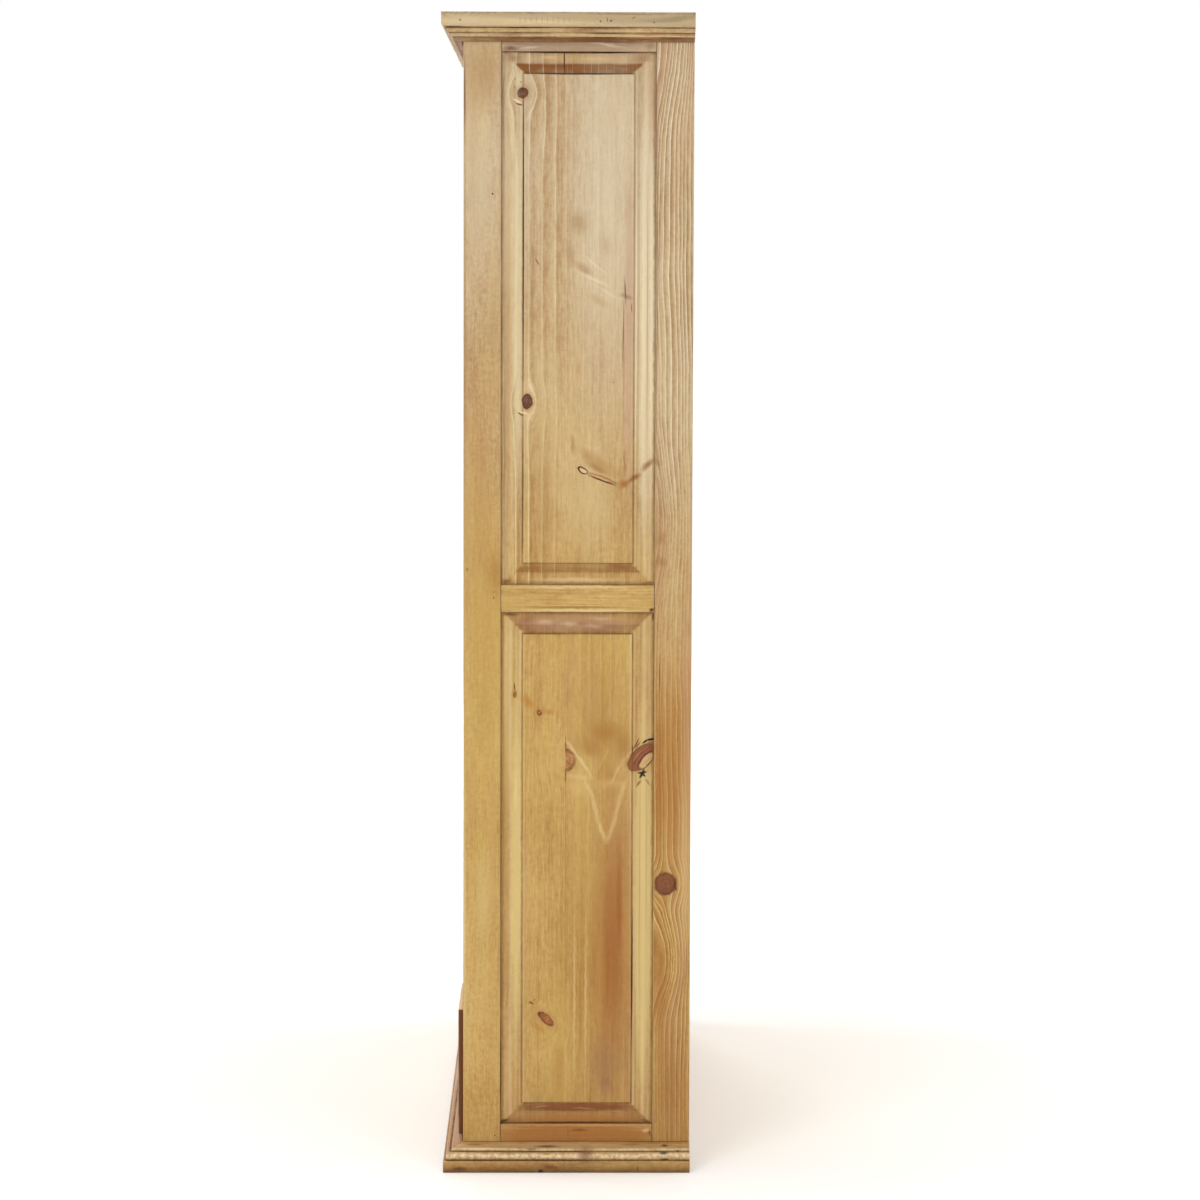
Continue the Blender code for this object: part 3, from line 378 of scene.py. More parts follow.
# boards of the right side, whose figure the picture shows. A knot's place and half sizes are (Y, Z) in mm;
# marks are soft ovals by colour: Y, Z, half width, half height in mm, strength, then solid share and turn in
# degrees where they are not 0; strokes are half width, colour, strength and their points
bend = {"body": 0, "rim": 0, "halo": 0}  # a hidden branch that only bends the rings
sideBoards = {}
sideBoards["upper_panel_right"] = {
    **plainBoard, **softEnds, "panel": panelEdges, "ring": 0.0205, "ringStops": fineRings,
    "figure": 0.75, "sway": 0.004, "uneven": 0, "start": 0.744, "blotch": 0.6, "dirt": 0.1, "gold": 0.1,
    "seam": {"at": -0.006, "ring": 0.0125, "figure": 0.18, "uneven": 2.2, "blend": 0.01},
    "knots": [
        {"at": (-71.5, 1707), "half": (7.8, 8.2), "spread": 5.5},
        {"at": (-63, 1224.3), "half": (7.8, 11.8), "spread": 5},
        {"at": (-62, 1672), "half": (20, 36), **bend, "push": 0.3, "spread": 3},
        {"at": (-55, 1195), "half": (20, 36), **bend, "push": 0.22, "spread": 3},
    ],
    "marks": [
        ("#e4d7ba", (62, 1480, 85, 420, 0.42)), ("#d9c38f", (40, 1060, 60, 120, 0.4)),
        ("#ae8750", (-35, 1050, 30, 200, 0.42)),
        ("#e8d9ac", (-79, 1360, 10.5, 400, 0.62, 0.3)),  # pale left cove
        ("#b9925c", (-94.5, 1360, 8.5, 400, 0.35, 0.2)),
        ("#2e1a0c", (-69.8, 1475, 1.3, 270, 0.95, 0.7)),  # dark line beside it
        ("#4e3218", (-69.8, 1080, 1, 115, 0.8, 0.6)), ("#efe2c4", (122, 1360, 17, 410, 0.42, 0.6)),
        ("#f4e6c6", (132.5, 1360, 4.2, 400, 0.8, 0.3)),  # right bevel in fine pale and brown lines
        ("#a87f4a", (125.5, 1360, 1.8, 400, 0.55)), ("#ecdcb2", (119, 1360, 4.8, 400, 0.7, 0.2)),
        ("#ad8450", (111.8, 1360, 2.4, 380, 0.5)), ("#f0e0ba", (107.6, 1360, 1.6, 380, 0.85, 0.2)),
        ("#2c1608", (17, 1770.5, 120, 2.2, 1, 0.5), (17, 1736.6, 89, 1.5, 0.9, 0.5)),
        ("#c49a58", (17, 1761.5, 118, 10.5, 0.36, 0.4)),
        # stain in the corners of the top ledge
        ("#8e5f30", (-86, 1761, 22, 10, 0.55), (115, 1761, 26, 10, 0.45)),
        ("#e0c692", (-30, 1762.5, 20, 4.5, 0.5)), ("#dfc48e", (45, 1760, 34, 4.5, 0.45)),
        ("#e3c491", (17, 942.5, 105, 6, 0.75, 0.1)),  # bottom bevel, browner at its ends
        ("#8a5024", (85, 963.5, 34, 7.5, 0.65, 0, -4)),
        ("#946028", (-58, 961, 34, 6.5, 0.6, 0, 4), (22, 960, 34, 4, 0.5)),
        ("#7a4824", (-96, 940, 14, 6, 0.7), (128, 938, 16, 3.4, 0.65)),
        ("#c39c84", (96.5, 1330, 10, 360, 0.62, 0.2)),  # pink streak
        ("#a9745a", (88.5, 1280, 2.4, 200, 0.55)),
        # smudges and the faint scar of a branch
        ("#a68355", (16, 1505, 24, 28, 0.55, 0, 35)), ("#a88456", (4, 1458, 10, 34, 0.5, 0, 10)),
        ("#a27c4e", (26, 1432, 26, 11, 0.55, 0, -40)), ("#b08c62", (60, 1470, 14, 30, 0.35, 0, 20)),
        ("#ecdcb8", (38, 1418, 42, 5, 0.5, 0, -25)), ("#e8d6b0", (62, 1396, 34, 4, 0.45, 0, -30)),
        ("#e8d8b4", (45, 1438, 40, 3.4, 0.45, 0, -38)), ("#b8945f", (50, 1382, 34, 10, 0.45, 0, -28)),
        ("#8a6a60", (92, 1390, 17, 5.5, 0.65, 0, -20)), ("#5f3c34", (90.5, 1398, 2, 30, 0.8, 0.1, 3)),
        ("#6a3f28", (87.5, 1325, 1.3, 75, 0.75, 0.2, -1)), ("#5c3824", (100.5, 1372, 1.2, 12, 0.7, 0.2)),
        ("#5c3a20", (-47.5, 1443.3, 8.5, 1.2, 0.9, 0.3, -60)),
        ("#43200a", (-6.2, 1756, 1.4, 26, 0.95, 0.5)), ("#8a6238", (-6.2, 1700, 1.2, 40, 0.5, 0.1)),
        ("#5c3a20", (72, 1255, 1.4, 1.4, 0.8, 0.3)),
        # swirl, pale and dark crescents at the two knots
        ("#e0d1a6", (-78.5, 1729, 9.5, 20, 0.7, 0.2)),
        ("#8a6a3c", (-83.1, 1729, 1.6, 2.2, 0.75, 0.2), (-73.9, 1723.7, 1.6, 2.2, 0.75, 0.2),
         (-83.9, 1716, 1.6, 2.6, 0.75, 0.2)),
        ("#ead9b0", (-79.5, 1694.5, 9.5, 2.2, 0.95, 0.4, -30)),
        ("#4c2a12", (-76.5, 1689.3, 7.5, 1.6, 0.95, 0.4, -14)),
        ("#e4cf9e", (-68, 1206.2, 11, 2.6, 0.9, 0.3, -12)),
        ("#4c2a12", (-73.5, 1204.2, 7.5, 1.4, 0.95, 0.4, -30)),
        # spike knot: a branch cut lengthwise, open at its left end
        ("#b28850", (52, 1126, 48, 16, 0.7, 0, -33)), ("#98672f", (46, 1120, 30, 8, 0.6, 0, -30)),
        ("#b08550", (30, 1140, 12, 20, 0.5, 0, 30)), ("#a3763f", (8.5, 1156, 4.5, 26, 0.6, 0, 6)),
        ("#7a4a22", (54.5, 1103.6, 33, 5, 0.9, 0.4, -19)),
        ("#cf9f6c", (52.5, 1104.4, 28, 2.6, 0.95, 0.4, -19)),
        ("#41200c", (56, 1099.6, 29, 1.4, 0.95, 0.5, -20)),
        ("#3a1c0c", (23.8, 1116.4, 9.8, 5.6, 1, 0.78, -27)), ("#dabb8c", (25, 1116, 7.2, 3.4, 1, 0.7, -27)),
        ("#a2602f", (90, 1094.5, 12, 10, 0.85, 0.1)), ("#a0643e", (90.5, 1128, 3.6, 40, 0.75)),
        ("#8c5628", (105, 1104, 20, 6.2, 0.85, 0.1, 30)),
        ("#94622f", (126.5, 1124.5, 20, 7.5, 0.85, 0.1, 44)),
    ]}
sideBoards["lower_panel_right"] = {
    **plainBoard, "panel": darkEnds, "endColour": "#85532f", "paleEnds": 0.7, "ring": 0.0085,
    "figure": 0.12, "sway": 0.008, "gold": 0.5,
    "seam": {"at": -0.001, "ring": 0.0173, "figure": 0.28, "blend": 0.0001},
    "knots": [
        {"at": (-82.6, 760), "half": (2.8, 5.2), "colour": "#4e220c", "light": "#7a4522", "push": 0.5,
         "rim": 0.4},
        {"at": (-43, 731.6), "half": (4, 4), "colour": "#9a6030", "light": "#c8965a", "rim": 1, "push": 0.5},
        {"at": (-32, 240.5), "half": (15.5, 6.4), "tilt": -42, "colour": "#935427", "light": "#b98150",
         "dark": "#6a381a", "push": 0.6},
        {"at": (-1, 656), "half": (14.5, 17.4), "tilt": 10, "colour": "#b07a48", "light": "#c79a64",
         "dark": "#8a582e", "halo": 0.1, "rim": 0.6, "push": 0.4, "seam": True},
    ],
    "marks": [
        ("#a97838", (50, 745, 60, 110, 0.28), (40, 330, 70, 340, 0.5), (-10, 160, 18, 80, 0.45),
         (22.5, 250, 6.5, 190, 0.75)),
        # heartwood in soft streaks
        ("#9a5c24", (76, 350, 44, 340, 0.84), (84, 410, 16, 250, 0.94), (67, 330, 10, 220, 0.88)),
        ("#b68848", (96, 370, 7, 260, 0.45), (54, 300, 10, 260, 0.35)),
        ("#966a48", (60, 165, 45, 75, 0.55), (64, 136, 20, 34, 0.75, 0, 8)),
        ("#b98464", (66, 126, 10, 14, 0.4)),
        ("#dcbe80", (13.5, 270, 3, 220, 0.6), (31.5, 270, 3.4, 220, 0.5)),
        # yellow left cove, pale right bevel
        ("#e2cc88", (-79.5, 470, 11, 380, 0.66, 0.4), (-80, 600, 10, 120, 0.85),
         (121.5, 440, 17, 360, 0.6, 0.6), (133, 460, 4, 380, 0.8, 0.3)),
        ("#b0884c", (-96, 500, 7, 360, 0.4, 0.2), (116.6, 440, 1.6, 330, 0.5), (127.5, 520, 1.4, 280, 0.5)),
        ("#b4782f", (-82.6, 764, 6, 14, 0.5, 0, 4), (-60, 748, 24, 11, 0.65, 0, -42),
         (-30, 733, 22, 8, 0.5, 0, -10), (-44, 226, 24, 9, 0.6, 0, -35),
         (121.5, 660, 34, 38, 0.55, 0.1, -30)),
        # brown shoulders above the pale web between the two knots
        ("#ad7c36", (60, 700, 58, 36, 0.6), (64, 634, 24, 34, 0.4)),
        ("#9a6528", (36, 676, 36, 24, 0.5, 0, -35), (89, 678, 24, 36, 0.55, 0, -12),
         (63, 700, 44, 22, 0.3, 0, 10)),
        ("#bf9448", (62, 664, 18, 24, 0.45)),
        ("#d6b676", (20, 629, 34, 8, 0.75, 0, -6), (18, 612, 26, 18, 0.5, 0, -20), (66, 618, 40, 12, 0.3)),
        # big knot on the bevel: dark outline, red ring, cream middle, black cracks
        ("#4e2612", (119, 659.6, 29, 17.6, 0.92, 0.84, 45), (110.5, 681.4, 15, 1.5, 0.9, 0.3, 62),
         (113, 679.7, 8.6, 1.4, 0.85, 0.3, 48), (104.5, 673.5, 1.2, 8.5, 0.85, 0.3),
         (-82.6, 772.5, 1.6, 10, 0.9, 0.2, 4), (-1.2, 680, 1.4, 22, 0.85, 0.3),
         (-1.2, 632, 1.4, 20, 0.85, 0.3), (-1.2, 480, 1, 420, 0.35, 0.2), (-55, 266, 7, 3, 0.75, 0.2, -20),
         (-50, 271, 4, 1.2, 0.75, 0.2, 40)),
        ("#8f5535", (119.4, 659.3, 27.6, 16.2, 1, 0.86, 45), (133.6, 680.9, 7.5, 7.5, 0.85, 0.3, 30)),
        ("#b57c56", (114, 663, 20, 3.6, 0.65, 0.1, 48), (122.5, 670.5, 13, 2.6, 0.55, 0.1, 40)),
        ("#552a16", (117.2, 665, 19, 1.2, 0.8, 0.2, 52), (125.5, 671.2, 14, 1, 0.75, 0.2, 42),
         (109, 653.5, 10, 1.1, 0.75, 0.2, 70)),
        ("#3c1c0e", (126.2, 654.9, 19.2, 9, 0.9, 0.78, 47)),
        ("#cfa974", (126.8, 654.3, 17.8, 7.4, 1, 0.72, 47)),
        ("#b08352", (127.6, 653.6, 12, 1.8, 0.6, 0.1, 47)),
        ("#8a5736", (115, 618.2, 9.5, 3.4, 0.85, 0.2, 56), (128.6, 620.2, 9.5, 2.6, 0.65, 0.2, -48)),
        ("#180a05", (125, 685.2, 7.5, 2.1, 1, 0.5, 35), (134, 688.8, 9, 2.6, 1, 0.5, 14),
         (131.1, 649.8, 10.5, 1, 0.95, 0.4, 42), (119.9, 634.5, 11, 3.2, 1, 0.4, 66),
         (120.5, 636, 10.5, 2.9, 1, 0.4, 8), (121.8, 633, 8, 2.7, 1, 0.4, -50),
         (105.2, 314, 1.4, 135, 0.95, 0.5)),
        # top bevel blotched pink, bottom bevel red brown over an orange ledge
        ("#b48b70", (17, 874.5, 118, 17, 0.5, 0.5)),
        ("#d0b08c", (-35, 875, 22, 7.5, 0.75), (4, 872.5, 22, 6, 0.65), (42, 869, 26, 4.2, 0.5),
         (55, 881, 34, 4.5, 0.5)),
        ("#98664e", (70, 868.5, 30, 6, 0.65), (-64, 879, 24, 8.5, 0.6, 0, 20), (22, 873.5, 12, 4, 0.55)),
        ("#5c3018", (-90, 887, 18, 3.6, 0.75), (136.5, 884, 2.2, 10, 0.85, 0.2)),
        ("#b0743a", (17, 78.5, 115, 8.5, 0.8, 0.3)),
        ("#7e4722", (17, 96.5, 108, 9, 0.82, 0.5), (128, 73.5, 11, 4, 0.7, 0.1, -20)),
        ("#b98a62", (-40, 97.5, 20, 3, 0.6, 0, 6), (30, 94, 30, 2.6, 0.5, 0, -4),
         (85, 89, 22, 3, 0.45, 0, -8)),
        ("#3a1c0a", (-104, 160, 1.4, 100, 0.9, 0.3), (-98, 73.5, 11, 5, 0.85, 0.1, 20),
         (17, 71.2, 118, 1.6, 0.75, 0.3)),
    ],
    "strokes": [  # pale lines of the web, from the lower end up
        (4.6, "#e0c88e", 0.52, [(624, 42), (638.3, 34.4), (652.1, 25.8), (670.9, 10.9), (692, -3.5)]),
        (5.4, "#dfc68a", 0.58, [(519, 64), (542.9, 56.7), (560.5, 50), (578, 46.1), (595.6, 41.9),
         (610.7, 35.7), (632, 25)]),
        (4.2, "#dfc68a", 0.46, [(617, 71.5), (627, 74.1), (644.5, 82.8), (664.6, 97.6), (672, 103)]),
        (5.6, "#d9bc7e", 0.48, [(519, 63.2), (527.8, 65.9), (552.9, 74.1), (580.5, 81.5),
         (605.6, 87.7), (619.4, 92.2), (630, 98)]),
        (3, "#cda55e", 0.4, [(640, 50), (652, 56), (668, 64), (676, 66)]),
    ]}
sideBoards["back_post_right"] = {
    **plainBoard, "ring": 0.0064, "figure": 1.1, "sway": 0.026, "ripple": 0.0034, "uneven": 1.6,
    "gold": 0.15, "greyFrom": 0.7, "greyTo": 1.25, "blush": 0.7,
    "knots": [
        {"at": (158, 458.6), "half": (17.5, 17.8), "colour": "#70402c", "light": "#88563c",
         "dark": "#46261a", "push": 0.75, "spread": 3.2, "halo": 0.2, "rim": 0.8},
        {"at": (120, 1800), "half": (34, 75), **bend, "push": 0.85, "spread": 3},
        {"at": (112, 1035), "half": (30, 75), **bend, "push": 0.92, "spread": 2.8},
        {"at": (128, 335), "half": (26, 40), **bend, "push": 0.95, "spread": 3.2},
    ],
    "marks": [
        ("#6a3c2a", (158, 457.5, 7, 7, 0.7)), ("#1e0d07", (173.5, 457, 3, 14, 0.95, 0.3, 12)),
        ("#a0642b", (147, 620, 10, 240, 0.75)), ("#a4682a", (165, 620, 42, 280, 0.64)),
        ("#d6b47a", (188, 500, 13, 260, 0.5)),
        ("#a0703c", (147, 1008, 13, 20, 0.5, 0, -35), (148, 972, 18, 12, 0.55, 0, -20)),
        ("#a0662f", (152, 280, 22, 200, 0.65)), ("#98602c", (168, 140, 40, 140, 0.6)),
        ("#6a3c1a", (147, 790, 1.4, 30, 0.7, 0.3)), ("#8a6248", (142, 1130, 6, 15, 0.5, 0, 30)),
        ("#7a5236", (140.5, 1400, 2.2, 360, 0.5, 0.2)),
    ]}
sideBoards["front_post_right"] = {
    **plainBoard, "figure": 0.06, "ring": 0.006, "streak": 0.22, "fibre": 0.5, "mottle": 0.52,
    "foot": 0.2,
    "marks": [
        ("#d2c1a6", (-140, 1560, 30, 150, 0.45)), ("#b0843f", (-134, 950, 60, 360, 0.3)),
        ("#b08658", (-134, 1735, 42, 85, 0.55)),
        ("#a06c28", (-112, 955, 22, 55, 0.48)),  # brown by the middle rail
        ("#6e4018", (-115.5, 914.4, 2.2, 3, 0.8, 0.1), (-115, 924, 2, 2.4, 0.6, 0.1),
         (-158, 958.5, 3, 4, 0.7)),
        ("#4a2612", (-118, 1549.7, 2, 2, 1, 0.4)), ("#6e4826", (-161.5, 1700, 2.2, 90, 0.8, 0.2)),
        ("#8e6a44", (-161, 1400, 2.2, 400, 0.6)), ("#e4cf9c", (-161, 420, 2.2, 360, 0.6)),
        ("#c0955c", (-150, 600, 12, 120, 0.45)), ("#d6bb80", (-130, 440, 26, 100, 0.4)),
        ("#c79a60", (-116, 500, 7, 400, 0.45)), ("#3a1c0a", (-113, 52, 1.6, 1.6, 1, 0.3)),
    ]}
sideBoards["top_rail_right"] = {
    **plainBoard, "figure": 0.25, "streak": 0.5, "gold": 0,
    "marks": [
        # the wide grey-brown oval over the whole rail is painted shade under the crown; the dark oval at its
        # left end is a stain
        ("#a0856e", (17, 1782, 160, 20, 0.6, 0.4)), ("#5c3e36", (-90, 1776, 18, 6.5, 0.85)),
        ("#d8c8b4", (-60, 1777, 20, 3, 0.6, 0, 5)), ("#7c5a42", (75, 1787, 50, 3.5, 0.6, 0, -5)),
        ("#d8c3a6", (60, 1782, 40, 3, 0.75, 0, -8)), ("#8e6848", (128, 1779, 12, 8, 0.55)),
    ]}
sideBoards["middle_rail_right"] = {
    **plainBoard, "figure": 0.25, "streak": 0.36, "ring": 0.006, "gold": 0.5,
    "marks": [
        ("#e0c88e", (17, 931.5, 130, 3.4, 0.75, 0.3)), ("#e2cc98", (17, 894.5, 130, 2.8, 0.75, 0.3)),
        ("#8e6230", (17, 900, 130, 2.2, 0.6, 0.2)), ("#a87a40", (-30, 912, 50, 4, 0.45)),
        ("#4a1e0c", (134, 896, 6, 4.6, 0.95, 0.2, 20)),
    ]}
sideBoards["bottom_side_rail_right"] = {
    **plainBoard, "figure": 0.25, "foot": 0.2,
    "marks": [
        ("#a2662c", (17, 52, 170, 25, 0.8, 0.5)), ("#74441c", (22, 60.5, 20, 4, 0.85)),
        ("#7a4a20", (4, 56, 1.2, 14, 0.6, 0.2)), ("#d0a266", (20, 69, 130, 2.6, 0.45, 0.3)),
        ("#dab482", (128, 60, 9, 5, 0.85, 0, 20)), ("#4e2810", (134.5, 56, 3, 8, 0.8, 0, 10)),
    ]}
sideBoards["top_board"] = {
    **moulded, "wild": knotRoom, "figure": 0.4, "streak": 0.3, "dirt": 0.12, "mottle": 0.3,
    "blotch": 0.3,
    "marks": [  # old nail holes and saw marks; the grey-brown oval at the front end is painted shade
        # the grey-brown oval at Y -180 along the lower arris is painted shade below the front end, not a
        # stain
        ("#d9be92", (0, 1817, 600, 11.8, 0.8, 0.7)), ("#7a6450", (-180, 1806.6, 24, 2.4, 0.85, 0.5)),
        ("#a67a48", (90, 1826.8, 100, 2.4, 0.55)), ("#e6d2aa", (0, 1810, 220, 3.2, 0.75, 0.1)),
        ("#9c7a50", *[(-75 + 8.5 * i, 1817.5, 1.6, 7.5, 0.4) for i in range(10)]),
        ("#4a2810", (-168, 1817, 2, 2, 0.9, 0.3), (50, 1815.5, 2, 2, 0.9, 0.3)),
        ("#5a3418", (60.5, 1818, 1, 5.5, 0.9, 0.3, 12)), ("#5a3010", (66, 1816.5, 2.6, 2.4, 0.9, 0.3)),
        ("#8a5c34", (101, 1821.5, 5, 1.4, 0.7, 0.2, 25)), ("#4a2810", (133, 1814, 1.8, 1.8, 0.9, 0.3)),
    ]}
sideBoards["base_moulding_right"] = {
    **moulded, "foot": 0.4,
    "marks": [
        ("#c2a27a", (0, 38.5, 260, 4.2, 0.5, 0.3)), ("#ead4a4", (-130, 35.2, 55, 1.4, 0.8, 0.1)),
        ("#2e1a16", (158, 38.5, 8, 2, 0.9, 0.1)), ("#3a2420", (157, 30, 11, 3.4, 0.9, 0.1)),
        ("#35201c", (157, 20.5, 11, 2.6, 0.92, 0.1)), ("#22110a", (-40, 2.5, 6, 4.5, 0.95, 0.1)),
        ("#74462a", (-25, 9, 24, 7, 0.8, 0, -10)), ("#6a4234", (-170, 6, 18, 7, 0.85)),
        ("#80583f", (32, 29, 20, 14, 0.8)), ("#4e352a", (-30, 37.5, 28, 2, 0.85, 0.1)),
        ("#5c4032", (-55, 34.5, 18, 1.6, 0.75, 0.1)), ("#6a5240", (-145, 39.5, 22, 1.8, 0.7)),
        ("#7a5430", (105, 39.5, 30, 1.8, 0.6)), ("#5c3620", (115, 6, 1.4, 7.5, 0.8, 0.2)),
        ("#3a2218", (179, 32.5, 3, 2.5, 0.9, 0.2)),
    ]}
sideBoards["crown_moulding_right"] = {
    **moulded, "dirt": 0.6, "blush": 1, "blushColour": "#9a6444", "glazeColour": "#5c2e16",
    "greyFrom": 1.3, "greyTo": 2.2, "rub": 0.7,
    "marks": [
        ("#8a5630", (20, 1802, 50, 4.2, 0.6)), ("#94603a", (125, 1797.5, 50, 3.6, 0.6)),
        ("#8a5a34", (-95, 1795.5, 40, 3, 0.55)), ("#7a4826", (20, 1789.5, 200, 3.6, 0.65, 0.3)),
        ("#8e4a2c", (110, 1788.5, 60, 3, 0.65)),
    ]}
sideBoards["base_moulding_front"] = {**moulded, "foot": 0.8, "dirt": 0.9, "rub": 0.35}
boardFinish = {name: pine(name + "Pine", look) for name, look in sideBoards.items()}
for side in ("front", "left"):
    boardFinish["crown_moulding_" + side] = boardFinish["crown_moulding_right"]
print("pine mixed:", len(finishes) + len(boardFinish), "finishes")

# which boards take which finish, by the start of their names
finishOf = {
    "pine_frame": ("front_post", "back_post", "top_rail", "middle_rail", "bottom_side", "header",
                   "drawer_rail", "front_bottom", "back_top", "back_bottom", "drawer_divider",
                   "drawer_partition"),
    "pine_panel": ("upper_panel", "lower_panel"),
    "pine_moulding": ("top_board", "crown", "base"),
    "pine_shelf": ("deck", "shelf", "drawer_runner"),
    "pine_back": ("back_board",),
    "pine_drawer": ("drawer_front", "drawer_side", "drawer_back", "drawer_bottom"),
}
# how a board was sawn: pith is its distance from the trunk's middle (across, deep), lean and dive tilt it
standing = {"lean": 0, "dive": 0, "tone": 0}
lying = {"pith": (0.3, 0.04), "lean": 0.01, "dive": 0, "tone": 0}
sawn = {
    "upper_panel_right": {**standing, "pith": (1, 0)},
    "lower_panel_right": {**standing, "pith": (1, 0), "tone": -0.03},
    "back_post_right": {**standing, "pith": (0.9, 0.25), "lean": 0.006, "tone": -0.05},
    "front_post_right": {**standing, "pith": (0.5, 0.12)},
    # the top rail's lower tone is painted shade under the crown
    "top_rail_right": {**lying, "tone": -0.11},
    "middle_rail_right": lying,
    "bottom_side_rail_right": {**lying, "tone": -0.1},
    "top_board": {"pith": (0.03, 0.08), "lean": 0.02, "dive": 0.014, "tone": -0.03},
    "crown_moulding_right": {**lying, "tone": -0.1},
    # the front crown's lower tone is painted shade on its underside
    "crown_moulding_front": {**lying, "tone": -0.2},
    "base_moulding_front": {**lying, "tone": -0.18},
}
endStain = {"top_board": 0.05, "drawer_front": 2.2, "default": 0.55}
tenon = {"rails": ("top_rail", "middle_rail", "bottom_side"), "length": 0.03}
clean = {"merge": 1e-5, "flatWithin": 0.5}  # metres, degrees
# faces of the carcass that panels and mouldings sit against, and the runs between them, metres
carcass = {"side": 0.54, "front": -0.1635, "frontRun": 1.08, "sideRun": 0.361, "clear": 0.0003}


def settle(node, bm, low, high, extra=None):  # mesh, grain and edge attributes, then its place on the body
    mesh = bpy.data.meshes.new(node + "_wood")
    bm.to_mesh(mesh)
    bm.free()
    for name, values in (extra or {}).items():
        mesh.attributes.new(name, "FLOAT", "POINT")
        mesh.attributes[name].data.foreach_set("value", values)
    size = high - low
    along, across, deep = sorted(range(3), key=lambda axis: -size[axis])
    dice = random.Random(node)
    cut = sawn.get(node) or {
        "pith": (dice.uniform(-0.5, 0.5) * size[across], dice.choice((-1, 1)) * dice.uniform(0.03, 0.1)),
        "lean": dice.uniform(-0.02, 0.02), "dive": dice.uniform(-0.03, 0.03),
        "tone": dice.uniform(-0.07, 0.07)}
    middle, start = (low + high) / 2, dice.uniform(0, 40)
    for name, kind, domain in (("grain", "FLOAT_VECTOR", "POINT"), ("lowGap", "FLOAT_VECTOR", "POINT"),
                               ("highGap", "FLOAT_VECTOR", "POINT"), ("tone", "FLOAT", "POINT"),
                               ("endGrain", "FLOAT", "FACE")):
        mesh.attributes.new(name, kind, domain)
    layers = [mesh.attributes[name].data for name in ("grain", "lowGap", "highGap", "tone")]
    for vert, grain, lowGap, highGap, tone in zip(mesh.vertices, *layers):
        off = vert.co - middle
        grain.vector = (off[across] + cut["pith"][0] + cut["lean"] * off[along],
                        off[deep] + cut["pith"][1] + cut["dive"] * off[along], off[along] + start)
        lowGap.vector, highGap.vector, tone.value = vert.co - low, high - vert.co, cut["tone"]
    stain = next((s for word, s in endStain.items() if node.startswith(word)), endStain["default"])
    for face, endGrain in zip(mesh.polygons, mesh.attributes["endGrain"].data):
        outside = face.normal.x * middle.x > 0.02  # turned away from the middle of the bookcase
        ends = abs(face.normal[along]) > 0.6
        endGrain.value = float(outside) if "_panel_" in node else stain if ends else 0
        face.use_smooth = True
    slot = next(slot for slot, starts in finishOf.items() if node.startswith(starts))
    mesh.materials.append(boardFinish.get(node) or finishes[slot])
    piece = bpy.data.objects.new(node + "_wood", mesh)
    scene.collection.objects.link(piece)
    smooth = piece.modifiers.new("roundedLook", "WEIGHTED_NORMAL")
    smooth.keep_sharp = True
    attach(piece, frame["nodes"][node]["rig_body"])
    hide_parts(node)


def dressBoard(node):
    bm = bmesh.new()
    bm.from_mesh(frame["nodes"][node].data)
    bmesh.ops.remove_doubles(bm, verts=bm.verts, dist=clean["merge"])
    bmesh.ops.dissolve_limit(bm, angle_limit=math.radians(clean["flatWithin"]), verts=bm.verts,
                             edges=bm.edges)
    low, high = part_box(node)
    edge = Vector((0, tenon["length"] if node.startswith(tenon["rails"]) else 0, 0))
    settle(node, bm, low + edge, high - edge)


raisedPanel = {"tongue": 0.0085, "tongueThickness": 0.0064, "tongueFace": 0.0103, "fieldDrop": 0.003,
               "ledge": 0.02, "ledgeRise": 0.0012, "ledgeLip": 0.0015, "cove": 0.0145, "coveSteps": 9,
               "shoulder": 0.0004, "shoulderRise": 0.0016, "backMargin": 0.012, "thickness": 0.021}


def dressPanel(node):
    p = raisedPanel
    low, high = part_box(node)
    side = 1 if low.x > 0 else -1
    rise = p["tongueFace"] - p["fieldDrop"]
    bm = bmesh.new()
    bmesh.ops.create_cube(bm, size=1)
    bmesh.ops.scale(bm, vec=(p["tongueThickness"], high.y - low.y, high.z - low.z), verts=bm.verts)
    outer = max(bm.faces, key=lambda f: f.calc_center_median().x)
    inner = min(bm.faces, key=lambda f: f.calc_center_median().x)
    steps = [(p["tongue"], 0), (p["ledge"] - p["ledgeLip"], p["ledgeRise"] * 0.9),
             (p["ledgeLip"], p["ledgeRise"] * 0.1)]
    coveRise = rise - p["ledgeRise"] - p["shoulderRise"]
    for number in range(p["coveSteps"]):  # hollow that steepens towards the field
        share = ((number + 1) ** 2 - number ** 2) / p["coveSteps"] ** 2
        steps.append((p["cove"] / p["coveSteps"], coveRise * share))
    steps += [(p["shoulder"] / 2, p["shoulderRise"] * share) for share in (0.85, 0.15)]
    for width, depth in steps:
        bmesh.ops.inset_region(bm, faces=[outer], thickness=width, depth=depth, use_even_offset=True)
    back = p["thickness"] - rise - p["tongueThickness"]
    for width, depth in ((p["tongue"] + p["backMargin"], 0), (p["shoulder"], back)):
        bmesh.ops.inset_region(bm, faces=[inner], thickness=width, depth=depth, use_even_offset=True)
    bmesh.ops.recalc_face_normals(bm, faces=bm.faces)
    if side < 0:
        bmesh.ops.rotate(bm, verts=bm.verts, cent=(0, 0, 0), matrix=Matrix.Rotation(math.pi, 3, "Z"))
    tongueMiddle = carcass["side"] - p["tongueFace"] - p["tongueThickness"] / 2
    middle = (low + high) / 2
    bmesh.ops.translate(bm, verts=bm.verts, vec=(side * tongueMiddle, middle.y, middle.z))
    edge = Vector((0, p["tongue"], p["tongue"]))
    settle(node, bm, low + edge, high - edge)
